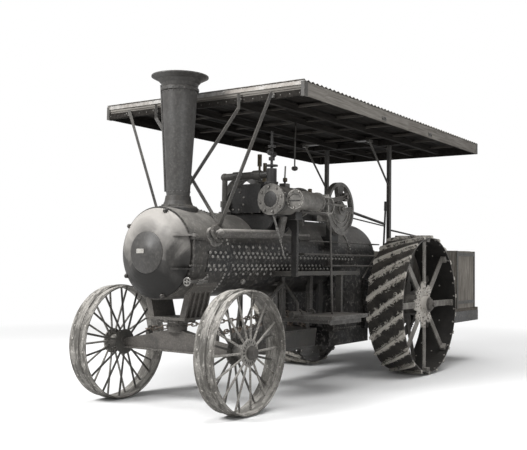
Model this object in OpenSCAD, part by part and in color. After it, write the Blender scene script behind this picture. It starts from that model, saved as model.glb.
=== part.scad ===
// Steam traction engine: boiler, side-set two-cylinder engine, canopy, gearing,
// chain steering and spoked iron wheels.
// +X points to the front of the engine, +Y to its left side, +Z up, in millimetres.

/* [Wheels] */
// height of the rear axle, and radius of the rear wheel over its lugs
rear_r = 838; // [780:1:900]
// width of the rear wheel
rear_w = 450; // [380:5:520]
// centre of the rear wheel from the middle plane
rear_y = 800; // [780:5:860]
// height of the diagonal lugs
lug_h = 28; // [15:1:40]
// number of lugs round each rear wheel
lug_n = 22; // [16:1:28]
// slant of the lugs across the tread
lug_a = 35; // [20:1:45]
// number of flat spokes in each row of a rear wheel
rear_spokes = 8; // [6:1:10]
// radius of the front wheel over its raised middle band
front_r = 547; // [500:1:600]
// width of the front wheel
front_w = 210; // [180:5:240]
// centre of the front wheel from the middle plane
front_y = 737; // [720:1:780]
// number of round spokes in each row of a front wheel
front_spokes = 14; // [10:1:16]
// distance between the axles
wheelbase = 3490; // [3400:5:3600]

/* [Boiler] */
// height of the boiler's centre line
boiler_z = 1397; // [1380:1:1420]
// outer radius of the barrel
barrel_r = 405; // [390:1:415]
// outer radius of the smokebox
smokebox_r = 418; // [415:1:430]
// front face of the smokebox from the rear axle
smokebox_x = 3785; // [3750:5:3820]
// joint of smokebox and barrel
barrel_x = 3255; // [3200:5:3300]
// front of the firebox
firebox_x = 1290; // [1250:5:1320]
// rear face of the firebox
backhead_x = 290; // [280:5:320]
// bottom of the firebox
firebox_z = 560; // [540:5:580]
// plate thickness of the smokebox
shell_t = 12; // [8:1:16]

/* [Smokestack] */
// centre of the smokestack
stack_x = 3510; // [3480:5:3540]
// radius at the foot of the tapered tube
stack_r0 = 108; // [100:1:120]
// radius at the head of the tapered tube
stack_r1 = 164; // [150:1:175]
// radius of the flared rim
bell_r = 266; // [240:1:280]
// top of the tapered tube
stack_z = 2900; // [2850:5:2950]

/* [Engine] */
// crankshaft place along the engine
crank_x = 1400; // [1380:5:1420]
// height of the crankshaft and the cylinders over the top of the barrel
crank_rise = 123; // [115:1:131]
// throw of the cranks
crank_throw = 127; // [110:1:135]
// centre plane of the outer cylinder
cyl_y = 600; // [590:5:610]
// centre plane of the inner cylinder
cyl2_y = 165; // [160:5:180]
// gap between the front crosshead stop and the cylinders
head_gap = 123; // [113:1:133]
// length of the cylinders
cyl_l = 520; // [500:5:540]
// radius of the outer cylinder's covers
cover_r = 149; // [140:1:152]
// length of the connecting rods
rod_l = 700; // [680:5:720]
// radius of the crank disc
disc_r = 291; // [275:1:300]
// radius of the flywheel
fly_r = 420; // [400:5:450]

/* [Gearing] */
// tooth module of the final drive
gear_m = 12; // [12:1:12]
// teeth on each wheel's ring gear
ring_n = 66; // [66:1:66]
// teeth on each drive pinion
pinion_n = 14; // [14:1:14]
// countershaft place behind the firebox
counter_x = 60; // [50:1:70]

/* [Canopy] */
// front edge of the canopy
canopy_x1 = 3240; // [3200:5:3300]
// rear edge of the canopy
canopy_x0 = -1125; // [-1200:5:-1050]
// half width of the canopy
canopy_y = 1196; // [1150:1:1220]
// top of the canopy's edge board
canopy_z = 2914; // [2880:1:2940]
// height of the edge board
fascia_h = 128; // [110:1:140]
// thickness of the edge boards
board_t = 22; // [18:1:28]
// number of bays between the cross timbers
bays = 6; // [5:1:8]
// pitch of the corrugated sheet
sheet_p = 76; // [70:1:80]

/* [Platform] */
// top of the driver's deck
deck_z = 740; // [730:1:750]
// rear end of the sills
sill_x = -1860; // [-1900:5:-1800]
// rear face of the fuel bunker
bunker_x = -1720; // [-1760:5:-1680]
// length of the fuel bunker
bunker_l = 670; // [620:5:720]
// half width of the fuel bunker
bunker_y = 950; // [900:5:960]
// top of the fuel bunker
bunker_z = 1512; // [1480:1:1540]

/* [Hidden] */
$fn = 48;
tip_x = wheelbase + front_r;
tail_x = sill_x - 40;
mid_x = (tip_x + tail_x) / 2;
rim_r = rear_r - lug_h;
rim_i = rim_r - 12;
rear_half = rear_w / 2;
front_half = front_w / 2;
front_rim = front_r - 10;
front_rim_i = front_rim - 11;
axle_z = rear_r;
ring_r = gear_m * ring_n / 2;
pinion_r = gear_m * pinion_n / 2;
mesh_d = ring_r + pinion_r;
counter_z = axle_z + sqrt(mesh_d * mesh_d - counter_x * counter_x);
ring_y0 = rear_y - rear_half + 25;
ring_y1 = rear_y - 132;
crank_z = boiler_z + barrel_r + crank_rise;
guide_x = crank_x + crank_throw + rod_l + head_gap;
cyl_x = guide_x + cyl_l;
cyl2_x = cyl_x - 50;
head_x = crank_x + sqrt(rod_l * rod_l - crank_throw * crank_throw);
head2_x = crank_x + crank_throw + rod_l;
hinge_x = smokebox_x + 12;
hinge_y = smokebox_r + 18;
door_z0 = 950;
door_z1 = 1215;
strap_z = [158, -137];
stack_foot = boiler_z + smokebox_r + 112;
dome_x = 1900;
dome_y = -130;
cyl_r = 135;
cyl2_r = 112;
chest_r = 88;
valve_y = cyl_y + cyl_r + chest_r + 9;
guide_rear = crank_x + rod_l - crank_throw - 83;
loop_x = crank_x + 480;
shaft_r = 48;
disc_t = 60;
disc_y = cyl_y - 45 - disc_t;
gov_x = cyl_x - 72;
gov_y = cyl_y - 40;
cheek_t = 24;
gear_w = 64;
gear_y = barrel_r + cheek_t + 55;
diff_n = 68;
crank_n = 20;
inter_dx = crank_x - counter_x;
inter_dz = crank_z - counter_z;
inter_d = sqrt(inter_dx * inter_dx + inter_dz * inter_dz);
inter_n = ceil((2 * inter_d / gear_m - crank_n - diff_n) / 2);
inter_r1 = gear_m * (crank_n + inter_n) / 2;
inter_r2 = gear_m * (diff_n + inter_n) / 2;
inter_a = (inter_r1 * inter_r1 - inter_r2 * inter_r2 + inter_d * inter_d) / (2 * inter_d);
inter_h = sqrt(inter_r1 * inter_r1 - inter_a * inter_a);
inter_x = crank_x - inter_a * inter_dx / inter_d + inter_h * inter_dz / inter_d;
inter_z = crank_z - inter_a * inter_dz / inter_d - inter_h * inter_dx / inter_d;
mesh_a = atan2(counter_z - axle_z, counter_x);
mesh_f = mesh_a * ring_n / 360 - floor(mesh_a * ring_n / 360);
pinion_turn = mesh_a + 180 + (mesh_f + 0.5) * 360 / pinion_n;
tank_x0 = 1480;
tank_x1 = 2280;
tank_y = 300;
tank_z = 610;
timber = 50;
waves = round((canopy_x1 - canopy_x0) / sheet_p);
wave_l = (canopy_x1 - canopy_x0 - 4) / waves / 4;
brace_x = canopy_x1 + 34;
brace_y = [870, 505];
brace_foot = [stack_x - 180, 345, boiler_z + 243];
roller_x = 1380;
roller_r = 60;
roller_z = 680;
shaft_z = roller_z + 72;
post_x = -20;
post_y = barrel_r + 45;
column = [-600, -300];
link_l = 92;
link_w = 50;
link_t = 14;
chain_gap = link_l - 2 * link_t + 1;
deck_t = 40;
sill_h = 140;
sill_z = deck_z - deck_t - sill_h;
step_z = 802;
function cross_x(i) = canopy_x0 + board_t + i * (canopy_x1 - canopy_x0 - 2 * board_t - timber) / bays;
iron = [0.16, 0.16, 0.17];
steel = [0.45, 0.45, 0.46];
wood = [0.45, 0.36, 0.26];
brass = [0.65, 0.53, 0.28];
wheel_c = [0.34, 0.31, 0.28];

module g() { translate([-mid_x, 0, 0]) children(); }
module along_x(x, y, z) { translate([x, y, z]) rotate([0, 90, 0]) children(); }
module along_y(x, y, z) { translate([x, y, z]) rotate([-90, 0, 0]) children(); }
module bar(x0, x1, y0, y1, z0, z1) { translate([x0, y0, z0]) cube([x1 - x0, y1 - y0, z1 - z0]); }
// round rod from point a to point b
module rod(a, b, r, f) {
  d = b - a;
  l = norm(d);
  translate(a) rotate([0, acos(d[2] / l), atan2(d[1], d[0])]) cylinder(r = r, h = l, $fn = f);
}
// pipe through the points p with a slightly wider ball at each bend
module pipe(p, r) {
  for (i = [0 : len(p) - 2]) rod(p[i], p[i + 1], r, 16);
  for (i = [1 : len(p) - 2]) translate(p[i]) sphere(r = r + 1, $fn = 24);
}
// outline in the XZ plane given thickness t towards +Y from y
module plate_y(y, t) { translate([0, y, 0]) rotate([90, 0, 0]) mirror([0, 0,
  1]) linear_extrude(t) children(); }
// outline in the YZ plane given thickness t towards +X from x
module plate_x(x, t) { translate([x, 0, 0]) rotate([90, 0, 90]) linear_extrude(t) children(); }

// gear blank outline with straight-sided teeth
module gear_2d(n, m) {
  r = n * m / 2;
  step = 360 / n;
  polygon([for (i = [0 : n - 1]) for (c = [[-0.3, -1.1], [-0.13, 0.8], [0.13, 0.8], [0.3, -1.1]])
    let (a = (i + c[0]) * step, q = r + c[1] * m) [q * cos(a), q * sin(a)]]);
}

module smokebox() {
  color(iron) g() difference() {
    union() {
      along_x(barrel_x, 0, boiler_z) cylinder(r = smokebox_r, h = smokebox_x - barrel_x, $fn = 72);
      for (z = [strap_z[0] - 38, strap_z[1] + 22]) translate([0, 0, boiler_z + z]) linear_extrude(16)
        polygon([[smokebox_x - 200, 380], [smokebox_x - 200, hinge_y - 24],
        [smokebox_x - 60, hinge_y - 10], [smokebox_x - 20, hinge_y + 16],
        [smokebox_x + 27, hinge_y + 16], [smokebox_x + 27, 396], [smokebox_x, 396],
        [smokebox_x - 12, 380]]);
      translate([hinge_x, hinge_y, boiler_z + strap_z[1] - 24]) cylinder(r = 9,
        h = strap_z[0] - strap_z[1] + 48,
        $fn = 16);
    }
    along_x(barrel_x - 1, 0, boiler_z) cylinder(r = smokebox_r - shell_t,
      h = smokebox_x - barrel_x - 19, $fn = 72);
    along_x(barrel_x + 5, 0, boiler_z) cylinder(r = smokebox_r - 60, h = smokebox_x, $fn = 72);
    translate([stack_x, 0, boiler_z]) cylinder(r = 88, h = 600);
  }
}

// height of the dished door at the radius q
function door_h(q, dish) = 14 + 129 * (1 - pow(q / dish, 3.2));
// dished door with two hinge straps and their eyes
module smokebox_door() {
  dish = smokebox_r - 16;
  color(iron) g() difference() {
    union() {
      along_x(smokebox_x + 5, 0, boiler_z) rotate_extrude($fn = 72)
        polygon(concat([for (i = [0 : 12]) let (q = i / 12 * (dish - 16)) [q, door_h(q, dish) - 14]],
        [[dish - 16, 0], [dish, 0]], [for (i = [12 : -1 : 0]) let (q = i / 12 * dish)
        [q, door_h(q, dish)]]));
      for (z = strap_z) {
        translate([0, 0, boiler_z + z - 8]) linear_extrude(16)
          polygon([[smokebox_x + 8, hinge_y], [smokebox_x + 8, 372], [smokebox_x + 38, 340],
          [smokebox_x + 82, 275], [smokebox_x + 116, 262], [smokebox_x + 99, 330],
          [smokebox_x + 65, 392], [smokebox_x + 29, hinge_y]]);
        translate([hinge_x, hinge_y, boiler_z + z - 15]) cylinder(r = 17, h = 30, $fn = 24);
      }
    }
    translate([hinge_x, hinge_y, boiler_z - 200]) cylinder(r = 9.6, h = 400, $fn = 24);
  }
}

module boiler_barrel() {
  color(iron) g() along_x(firebox_x, 0, boiler_z)
    cylinder(r = barrel_r, h = barrel_x - firebox_x, $fn = 72);
}

module firebox() {
  color(iron) g() difference() {
    union() {
      along_x(backhead_x, 0, boiler_z) cylinder(r = barrel_r, h = firebox_x - backhead_x, $fn = 72);
      bar(backhead_x, firebox_x, 0 - barrel_r, barrel_r, firebox_z, boiler_z);
      for (z = [door_z0 - 6, door_z1 - 14]) bar(backhead_x - 28, backhead_x + 4, -240, -210, z, z + 20);
      translate([backhead_x - 18, -225, door_z0 - 6]) cylinder(r = 8, h = door_z1 - door_z0 + 12, $fn = 24);
    }
    bar(backhead_x + 80, firebox_x - 80, 80 - barrel_r, barrel_r - 80, firebox_z - 1, boiler_z - 60);
    bar(backhead_x - 1, backhead_x + 100, -180, 180, door_z0, door_z1);
  }
}

module fire_door() {
  color(iron) g() difference() {
    union() {
      bar(backhead_x - 23, backhead_x - 5, -205, 200, door_z0 - 22, door_z1 + 22);
      for (z = [door_z0 + 20, door_z1 - 50])
        translate([backhead_x - 18, -225, z]) cylinder(r = 15, h = 30, $fn = 24);
      for (z = [door_z0 + 20, door_z1 - 50]) bar(backhead_x - 31, backhead_x - 23, -225, 120, z, z + 30);
      bar(backhead_x - 62, backhead_x - 23, 150, 166, door_z0 + 90, door_z0 + 106);
    }
    translate([backhead_x - 18, -225, door_z0 - 50]) cylinder(r = 8.1, h = 400, $fn = 24);
  }
}

module ash_pan() {
  color(iron) g() bar(backhead_x + 40, firebox_x - 20, -345, 345, firebox_z - 170, firebox_z);
}

module stack_base() {
  color(iron) g() difference() {
    translate([stack_x, 0, 0]) rotate_extrude()
      polygon([[0, boiler_z], [188, boiler_z], [188, stack_foot - 115], [176, stack_foot - 103],
      [140, stack_foot - 85], [124, stack_foot - 47], [stack_r0 + 8, stack_foot], [0, stack_foot]]);
    along_x(stack_x - 300, 0, boiler_z) cylinder(r = smokebox_r, h = 600, $fn = 72);
    translate([stack_x, 0, boiler_z]) cylinder(r = 88, h = 600);
  }
}

module smokestack() {
  color(iron) g() union() {
    translate([stack_x, 0, 0]) rotate_extrude($fn = 60)
      polygon([[stack_r0, stack_foot], [stack_r1, stack_z], [stack_r1 + 13, stack_z],
      [stack_r1 + 13, stack_z + 26], [stack_r1 + 2, stack_z + 32], [stack_r1 + 10, stack_z + 66],
      [stack_r1 + 40, stack_z + 100], [bell_r, stack_z + 132], [bell_r, stack_z + 142],
      [stack_r1 + 34, stack_z + 110], [stack_r1, stack_z + 72], [stack_r1 - 8, stack_z + 30],
      [stack_r0 - 6, stack_foot]]);
    rod([stack_x + 0.563 * (stack_r0 + 9), -0.826 * (stack_r0 + 9), stack_foot + 40],
      [stack_x + 0.563 * (stack_r1 + 9), -0.826 * (stack_r1 + 9), stack_z + 60], 12, 16);
  }
}

// two ribbed legs under the smokebox on a lobed turntable for the front axle's pin
module front_pedestal() {
  leg = 300;
  rib = 18;
  color(iron) g() difference() {
    union() {
      for (s = [-1, 1]) {
        plate_x(wheelbase - leg / 2, leg)
          polygon([[s * 150, 818], [s * 178, 818], [s * 262, 1100], [s * 225, 1100]]);
        for (i = [0 : 4]) plate_x(wheelbase - leg / 2 + i * (leg - rib) / 4, rib)
          polygon([[s * 150, 818], [s * 212, 818], [s * 285, 1090], [s * 225, 1090]]);
        intersection() {
          along_x(wheelbase - leg / 2 - 12, 0, boiler_z)
            cylinder(r = smokebox_r + 20, h = leg + 24, $fn = 72);
          bar(wheelbase - leg, wheelbase + leg, s > 0 ? 205 : -325, s > 0 ? 325 : -205, 1000, 1150);
        }
      }
      bar(wheelbase - 165, wheelbase + 165, -222, 222, 796, 818);
      translate([wheelbase, 0, 770]) cylinder(r = 150, h = 27);
      for (a = [0 : 36 : 324]) translate([wheelbase + 146 * cos(a), 146 * sin(a), 770])
        cylinder(r = 27, h = 27);
      translate([wheelbase, 0, 740]) cylinder(r = 92, h = 60);
    }
    along_x(wheelbase - 250, 0, boiler_z) cylinder(r = smokebox_r, h = 500, $fn = 72);
    translate([wheelbase, 0, 700]) cylinder(r = 30.05, h = 112, $fn = 32);
  }
}

module steam_dome() {
  top = boiler_z + barrel_r;
  color(iron) g() difference() {
    translate([dome_x, dome_y, 0]) rotate_extrude()
      polygon([[0, top - 150], [215, top - 150], [215, top + 13], [175, top + 28], [165, top + 48],
      [165, top + 308], [140, top + 363], [80, top + 398], [0, top + 408]]);
    along_x(dome_x - 400, 0, boiler_z) cylinder(r = barrel_r + 0.4, h = 800, $fn = 144);
  }
}

module safety_valve() {
  top = boiler_z + barrel_r + 408;
  color(brass) g() union() {
    translate([dome_x, dome_y, top]) cylinder(r = 34, h = 90, $fn = 24);
    translate([dome_x, dome_y, top + 90]) cylinder(r = 48, h = 26, $fn = 24);
    translate([dome_x, dome_y, top + 116]) cylinder(r = 22, h = 90, $fn = 20);
    along_x(dome_x, dome_y, top + 50) cylinder(r = 16, h = 110, $fn = 16);
    translate([dome_x + 105, dome_y, top + 40]) cylinder(r = 13, h = 120, $fn = 16);
    translate([dome_x + 105, dome_y, top + 160]) cylinder(r = 24, h = 130, $fn = 20);
  }
}

module cylinder_saddle() {
  low = boiler_z + barrel_r;
  color(iron) g() difference() {
    union() {
      bar(guide_x + 60, cyl_x - 90, 60, 330, low - 152, crank_z - 40);
      for (x = [guide_x + 60, cyl_x - 130]) plate_x(x, 40)
        polygon([[60, low - 152], [60, crank_z], [cyl_y, crank_z], [cyl_y, crank_z - cyl_r - 10],
        [cyl_y - 110, low - 170], [cyl_y - 200, low - 230]]);
      bar(guide_x + 60, cyl_x - 90, 330, cyl_y, crank_z - cyl_r - 20, crank_z - cyl_r + 30);
    }
    along_x(guide_x, 0, boiler_z) cylinder(r = barrel_r, h = cyl_l, $fn = 72);
    along_x(guide_x, cyl_y, crank_z) cylinder(r = cyl_r, h = cyl_l, $fn = 48);
    along_x(guide_x - 100, cyl2_y, crank_z) cylinder(r = cyl2_r, h = cyl_l + 100, $fn = 48);
    bar(cyl2_x - 340, cyl2_x + 10, cyl2_y + 50, cyl_y - 140, crank_z - 132, crank_z + 170);
  }
}

module cylinder_body(x, y, r, rc, t) {
  along_x(x + t, y, crank_z) cylinder(r = r, h = cyl_l - 2 * t, $fn = 48);
  for (q = [x, x + cyl_l - t]) along_x(q, y, crank_z) cylinder(r = rc, h = t, $fn = 48);
}

module outer_cylinder() {
  color(iron) g() difference() {
    union() {
      cylinder_body(guide_x, cyl_y, cyl_r, cover_r, 30);
      along_x(cyl_x - 10, cyl_y, crank_z) rotate_extrude() translate([76, 0]) square([14, 16]);
      bar(cyl_x - 290, cyl_x - 210, cyl_y - 40, cyl_y + 30, crank_z + cyl_r - 20, crank_z + cyl_r + 34);
      rod([cyl_x - 255, cyl_y - 10, crank_z + cyl_r + 20], [cyl_x - 300, cyl_y - 30,
        crank_z + cyl_r + 210], 8, 12);
    }
    along_x(guide_x - 1, cyl_y, crank_z) cylinder(r = 22.05, h = 60, $fn = 24);
  }
}

module inner_cylinder() {
  color(iron) g() difference() {
    union() {
      cylinder_body(cyl2_x - cyl_l, cyl2_y, cyl2_r, 124, 30);
      bar(cyl2_x - 330, cyl2_x + 4, cyl2_y + 60, cyl_y - 150, crank_z - 122, crank_z + 160);
    }
    along_x(cyl2_x - cyl_l - 1, cyl2_y, crank_z) cylinder(r = 22.05, h = 60, $fn = 24);
    along_x(guide_x, cyl_y, crank_z) cylinder(r = cyl_r + 0.2, h = cyl_l, $fn = 48);
    along_x(guide_x, 0, boiler_z) cylinder(r = barrel_r, h = cyl_l, $fn = 72);
  }
}

module valve_chest() {
  z = crank_z - 5;
  color(iron) g() union() {
    along_x(guide_x + 60, valve_y, z) cylinder(r = chest_r, h = cyl_l - 140, $fn = 40);
    for (x = [cyl_x - 82, guide_x + 44]) along_x(x, valve_y, z) cylinder(r = chest_r + 8, h = 18, $fn = 40);
    along_x(guide_rear - 90, valve_y, z) cylinder(r = 11, h = guide_x - guide_rear + 140, $fn = 12);
    difference() {
      bar(guide_x + 90, cyl_x - 110, cyl_y + 100, valve_y - 20, z - 40, z + 40);
      along_x(guide_x, cyl_y, crank_z) cylinder(r = cyl_r, h = cyl_l, $fn = 48);
    }
  }
}

module guide_bars() {
  color(steel) g() difference() {
    union() {
      for (c = [[cyl_y, guide_x, 1760], [cyl2_y, cyl2_x - cyl_l, 1700]]) {
        for (z = [-100, 72]) bar(guide_rear, c[1], c[0] - 34, c[0] + 34, crank_z + z, crank_z + z + 28);
        difference() {
          bar(guide_rear - 22, guide_rear, c[0] - 66, c[0] + 66, c[2], crank_z + 118);
          bar(guide_rear - 30, guide_rear + 8, c[0] - 46, c[0] + 46, crank_z - 100, crank_z + 100);
        }
      }
      plate_y(cyl_y + 72, 14) difference() {
        union() {
          translate([loop_x, crank_z - 92]) square([guide_x - loop_x, 184]);
          translate([loop_x, crank_z]) circle(r = 92);
        }
        translate([loop_x, crank_z - 76]) square([guide_x - loop_x + 1, 152]);
        translate([loop_x, crank_z]) circle(r = 76);
      }
    }
    along_x(guide_rear - 100, 0, boiler_z) cylinder(r = barrel_r, h = 300, $fn = 72);
  }
}

module crossheads() {
  color(steel) g() union() for (c = [[cyl_y, head_x, guide_x], [cyl2_y, head2_x, cyl2_x - cyl_l]]) {
    difference() {
      bar(c[1] - 55, c[1] + 55, c[0] - 38, c[0] + 38, crank_z - 72, crank_z + 72);
      bar(c[1] - 60, c[1] + 36, c[0] - 21, c[0] + 21, crank_z - 80, crank_z + 80);
    }
    along_y(c[1], c[0] - 38, crank_z) cylinder(r = 17, h = 76, $fn = 20);
    along_x(c[1] + 50, c[0], crank_z) cylinder(r = 22, h = c[2] + 40 - c[1] - 50, $fn = 24);
  }
}

// connecting rod in the plane y, its crank pin at angle a
module con_rod(y, x, a, w) {
  px = crank_x + crank_throw * cos(a);
  pz = crank_z + crank_throw * sin(a);
  e = atan2(pz - crank_z, x - px);
  difference() {
    union() {
      along_y(px, y - w, pz) cylinder(r = 48, h = 2 * w, $fn = 32);
      along_y(x, y - w, crank_z) cylinder(r = 31, h = 2 * w, $fn = 24);
      translate([px, y - 12, pz]) rotate([0, e, 0]) translate([30, 0, -22]) cube([rod_l - 50, 24, 44]);
    }
    along_y(px, y - 40, pz) cylinder(r = 26.05, h = 80, $fn = 24);
    along_y(x, y - 40, crank_z) cylinder(r = 17.05, h = 80, $fn = 20);
  }
}

module connecting_rods() {
  color(steel) g() union() {
    con_rod(cyl_y, head_x, 90, 20);
    con_rod(cyl2_y, head2_x, 0, 20);
  }
}

module crankshaft() {
  color(steel) g() union() {
    along_y(crank_x, -820, crank_z) cylinder(r = shaft_r, h = 820 + cyl2_y - 26, $fn = 32);
    along_y(crank_x, cyl2_y + 26, crank_z) cylinder(r = shaft_r, h = disc_y - cyl2_y - 26, $fn = 32);
    for (s = [cyl2_y - 62, cyl2_y + 24])
      bar(crank_x - 62, crank_x + crank_throw + 50, s, s + 38, crank_z - 58, crank_z + 58);
    along_y(crank_x + crank_throw, cyl2_y - 30, crank_z) cylinder(r = 26, h = 60, $fn = 24);
  }
}

// balanced crank disc with an open upper half
module crank_disc() {
  color(steel) g() union() {
    difference() {
      along_y(crank_x, disc_y, crank_z) cylinder(r = disc_r, h = disc_t, $fn = 60);
      for (a = [[8, 74], [106, 172]]) plate_y(disc_y - 5, disc_t + 10) translate([crank_x,
        crank_z]) polygon(concat(
          [for (i = [0 : 8]) let (q = a[0] + (a[1] - a[0]) * i / 8) [(disc_r - 32) * cos(q),
          (disc_r - 32) * sin(q)]],
          [for (i = [8 : -1 : 0]) let (q = a[0] + (a[1] - a[0]) * i / 8) [96 * cos(q), 96 * sin(q)]]));
      along_y(crank_x, disc_y + disc_t - 10, crank_z) cylinder(r = disc_r - 32, h = 20, $fn = 60);
    }
    intersection() {
      along_y(crank_x, disc_y + disc_t - 14, crank_z) rotate_extrude()
        for (q = [disc_r - 88, disc_r - 140]) translate([q, 0]) square([11, 12]);
      bar(crank_x - disc_r, crank_x + disc_r, disc_y, disc_y + disc_t, crank_z - disc_r, crank_z - 20);
    }
    along_y(crank_x, disc_y + 30, crank_z) cylinder(r = 66, h = 44, $fn = 32);
    along_y(crank_x, disc_y + 30, crank_z + crank_throw) cylinder(r = 44, h = 30, $fn = 32);
    along_y(crank_x, disc_y + 10, crank_z + crank_throw) cylinder(r = 26, h = 112, $fn = 24);
  }
}

module flywheel() {
  color(iron) g() difference() {
    union() {
      along_y(crank_x, -790, crank_z) rotate_extrude($fn = 60) translate([fly_r - 40, 0]) square([40, 170]);
      along_y(crank_x, -780, crank_z) cylinder(r = 80, h = 150);
      for (a = [0 : 60 : 300]) translate([crank_x, -705, crank_z]) rotate([0, a, 0])
        translate([60, -18, -30]) cube([fly_r - 80, 36, 60]);
    }
    along_y(crank_x, -900, crank_z) cylinder(r = shaft_r + 0.05, h = 300, $fn = 32);
  }
}

module crank_bearings() {
  top = boiler_z + barrel_r;
  color(iron) g() difference() {
    union() {
      for (y = [disc_y - 85, 85 - disc_y - 50])
        bar(crank_x - 85, crank_x + 85, y, y + 60, top - 302, crank_z + 70);
      bar(crank_x - 85, crank_x + 85, -50, 20, top - 102, crank_z + 70);
      bar(crank_x - 70, guide_x - 2, disc_y - 75, disc_y - 25, crank_z - 155, crank_z - 85);
      bar(guide_rear - 22, guide_rear, disc_y - 25, cyl_y - 66, crank_z - 155, crank_z - 85);
      for (y = [disc_y - 165, 165 - disc_y - 129])
        bar(crank_x - 70, crank_x + 70, y, y + 129, top - 322, top - 182);
      bar(crank_x - 120, crank_x + 120, disc_y - 95, disc_y - 15, top - 322, top - 290);
    }
    along_x(firebox_x - 300, 0, boiler_z) cylinder(r = barrel_r, h = 1600, $fn = 72);
    along_y(crank_x, -500, crank_z) cylinder(r = shaft_r + 0.05, h = 1200, $fn = 32);
  }
}

module exhaust_pipe() {
  y = cyl_y - 70;
  z = boiler_z + 203;
  color(iron) g() difference() {
    union() {
      translate([3460, 360, boiler_z + 151]) rotate([0, 90, 68]) cylinder(r = 88, h = 70, $fn = 40);
      pipe([[3455, 400, boiler_z + 159], [3460, 470, boiler_z + 183], [cyl_x - 270, y, z],
        [cyl_x - 270, cyl_y - 20, crank_z - cyl_r + 20]], 41);
      pipe([[cyl_x - 270, y, z], [2055, y, z + 6], [2055, 300, z + 6]], 14);
    }
    along_x(3300, 0, boiler_z) cylinder(r = smokebox_r, h = 400, $fn = 72);
    along_x(2000, 0, boiler_z) cylinder(r = barrel_r, h = 1300, $fn = 72);
    bar(guide_x, cyl_x, 330, cyl_y + 100, crank_z - cyl_r - 20, crank_z + 100);
  }
}

module steam_pipe() {
  foot = [cyl2_x + 42, 48, boiler_z + barrel_r];
  high = [foot[0], foot[1], crank_z + 232];
  tee = [gov_x, gov_y, high[2] + 18];
  d = tee - high;
  color(iron) g() difference() {
    union() {
      rod(foot - [0, 0, 40], high, 27, 24);
      translate(high) sphere(r = 41, $fn = 32);
      rod(high, tee, 35, 24);
      for (q = [[0.2, 0.34], [0.62, 0.78]]) rod(high + d * q[0], high + d * q[1], 45, 24);
      translate(foot - [0, 0, 20]) cylinder(r = 58, h = 34, $fn = 24);
      translate(foot + [0, 0, 60]) cylinder(r = 42, h = 60, $fn = 6);
    }
    along_x(foot[0] - 200, 0, boiler_z) cylinder(r = barrel_r, h = 400, $fn = 72);
    translate([gov_x, gov_y, crank_z]) cylinder(r = 50, h = 600, $fn = 24);
  }
}

module governor() {
  color(iron) g() difference() {
    union() translate([gov_x, gov_y, crank_z]) {
      translate([0, 0, 60]) cylinder(r = 50, h = 240, $fn = 24);
      translate([0, 0, 150]) cylinder(r = 66, h = 22, $fn = 24);
      translate([0, 0, 322]) cylinder(r = 60, h = 14, $fn = 32);
      translate([0, 0, 290]) cylinder(r = 13, h = 370, $fn = 16);
      translate([0, 0, 380]) cylinder(r = 30, h = 30, $fn = 20);
      for (a = [20, 200]) rotate([0, 0, a]) {
        rod([0, 0, 510], [78, 0, 452], 6, 8);
        translate([78, 0, 448]) sphere(r = 30, $fn = 24);
        rod([78, 0, 448], [0, 0, 392], 6, 8);
      }
      translate([0, 0, 505]) cylinder(r = 36, h = 20, $fn = 20);
    }
    along_x(guide_x - 100, cyl_y, crank_z) cylinder(r = cyl_r, h = cyl_l + 100, $fn = 48);
    along_x(cyl_x - 30, cyl_y, crank_z) cylinder(r = cover_r, h = 100, $fn = 48);
  }
}

module engine_bracket() {
  x = guide_x + 130;
  color(iron) g() difference() {
    union() {
      bar(x, x + 20, cyl_y + 3, cyl_y + 68, boiler_z - 207, crank_z - 117);
      bar(x - 14, x, cyl_y + 54, cyl_y + 68, boiler_z - 150, crank_z - 117);
      bar(x - 40, x + 80, cyl_y, cyl_y + 90, crank_z - 180, crank_z - 90);
      plate_x(x, 20) polygon([[cyl_y + 3, crank_z - 290], [cyl_y + 3, crank_z - 130],
        [cyl_y - 130, crank_z - 130]]);
    }
    along_x(guide_x, cyl_y, crank_z) cylinder(r = cyl_r, h = cyl_l, $fn = 48);
    along_x(guide_x, valve_y, crank_z - 5) cylinder(r = chest_r, h = cyl_l, $fn = 40);
    bar(x - 60, x + 100, cyl_y - 140, cyl_y + 1, crank_z - cyl_r - 20, crank_z);
  }
}

// pipe rails round the outer engine and along the boiler's left side
module guard_rail() {
  py = cyl_y + 180;
  pz = crank_z - 105;
  ry = cyl_y;
  low = boiler_z - 100;
  high = boiler_z + 16;
  thin = boiler_z + 158;
  // the lower rail's foot clears the lugs of the rear wheel
  foot = 40 + sqrt(pow(rear_r, 2) - pow(low - 9 - axle_z, 2));
  bend = [loop_x + 290, py, pz - 130];
  joint = [2019, py - 26.4, boiler_z - 40];
  color(iron) g() difference() {
    union() {
      rod([guide_x + 250, py + 14, pz + 42], [guide_x + 246, py, pz], 9, 16);
      rod([guide_x + 260, py, pz], bend + [-4, 0, 130], 12, 24);
      translate(bend) rotate([90, 0, 0]) rotate([0, 0, 90]) rotate_extrude(angle = 90, $fn = 64)
        translate([130, 0]) circle(r = 10.5, $fn = 24);
      rod(bend + [-130, 0, 5], [1985, py, step_z + 1], 12, 24);
      translate(joint) sphere(r = 14, $fn = 24);
      pipe([joint, [1930, py - 50, low + 15], [1860, ry, low], [foot, ry, low], [foot, 300, low]], 9);
      pipe([[2250, 300, high], [2250, ry, high], [700, ry, high], [700, 300, high]], 11);
      pipe([[1980, 300, thin], [1980, post_y + 46, thin], [350, post_y + 46, thin], [350, 300, thin]], 7);
    }
    along_x(300, 0, boiler_z) cylinder(r = barrel_r, h = 2200, $fn = 72);
    bar(backhead_x, firebox_x, 0, barrel_r, firebox_z, boiler_z - 60);
    along_x(guide_x, valve_y, crank_z - 5) cylinder(r = chest_r, h = cyl_l, $fn = 40);
  }
}

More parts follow.
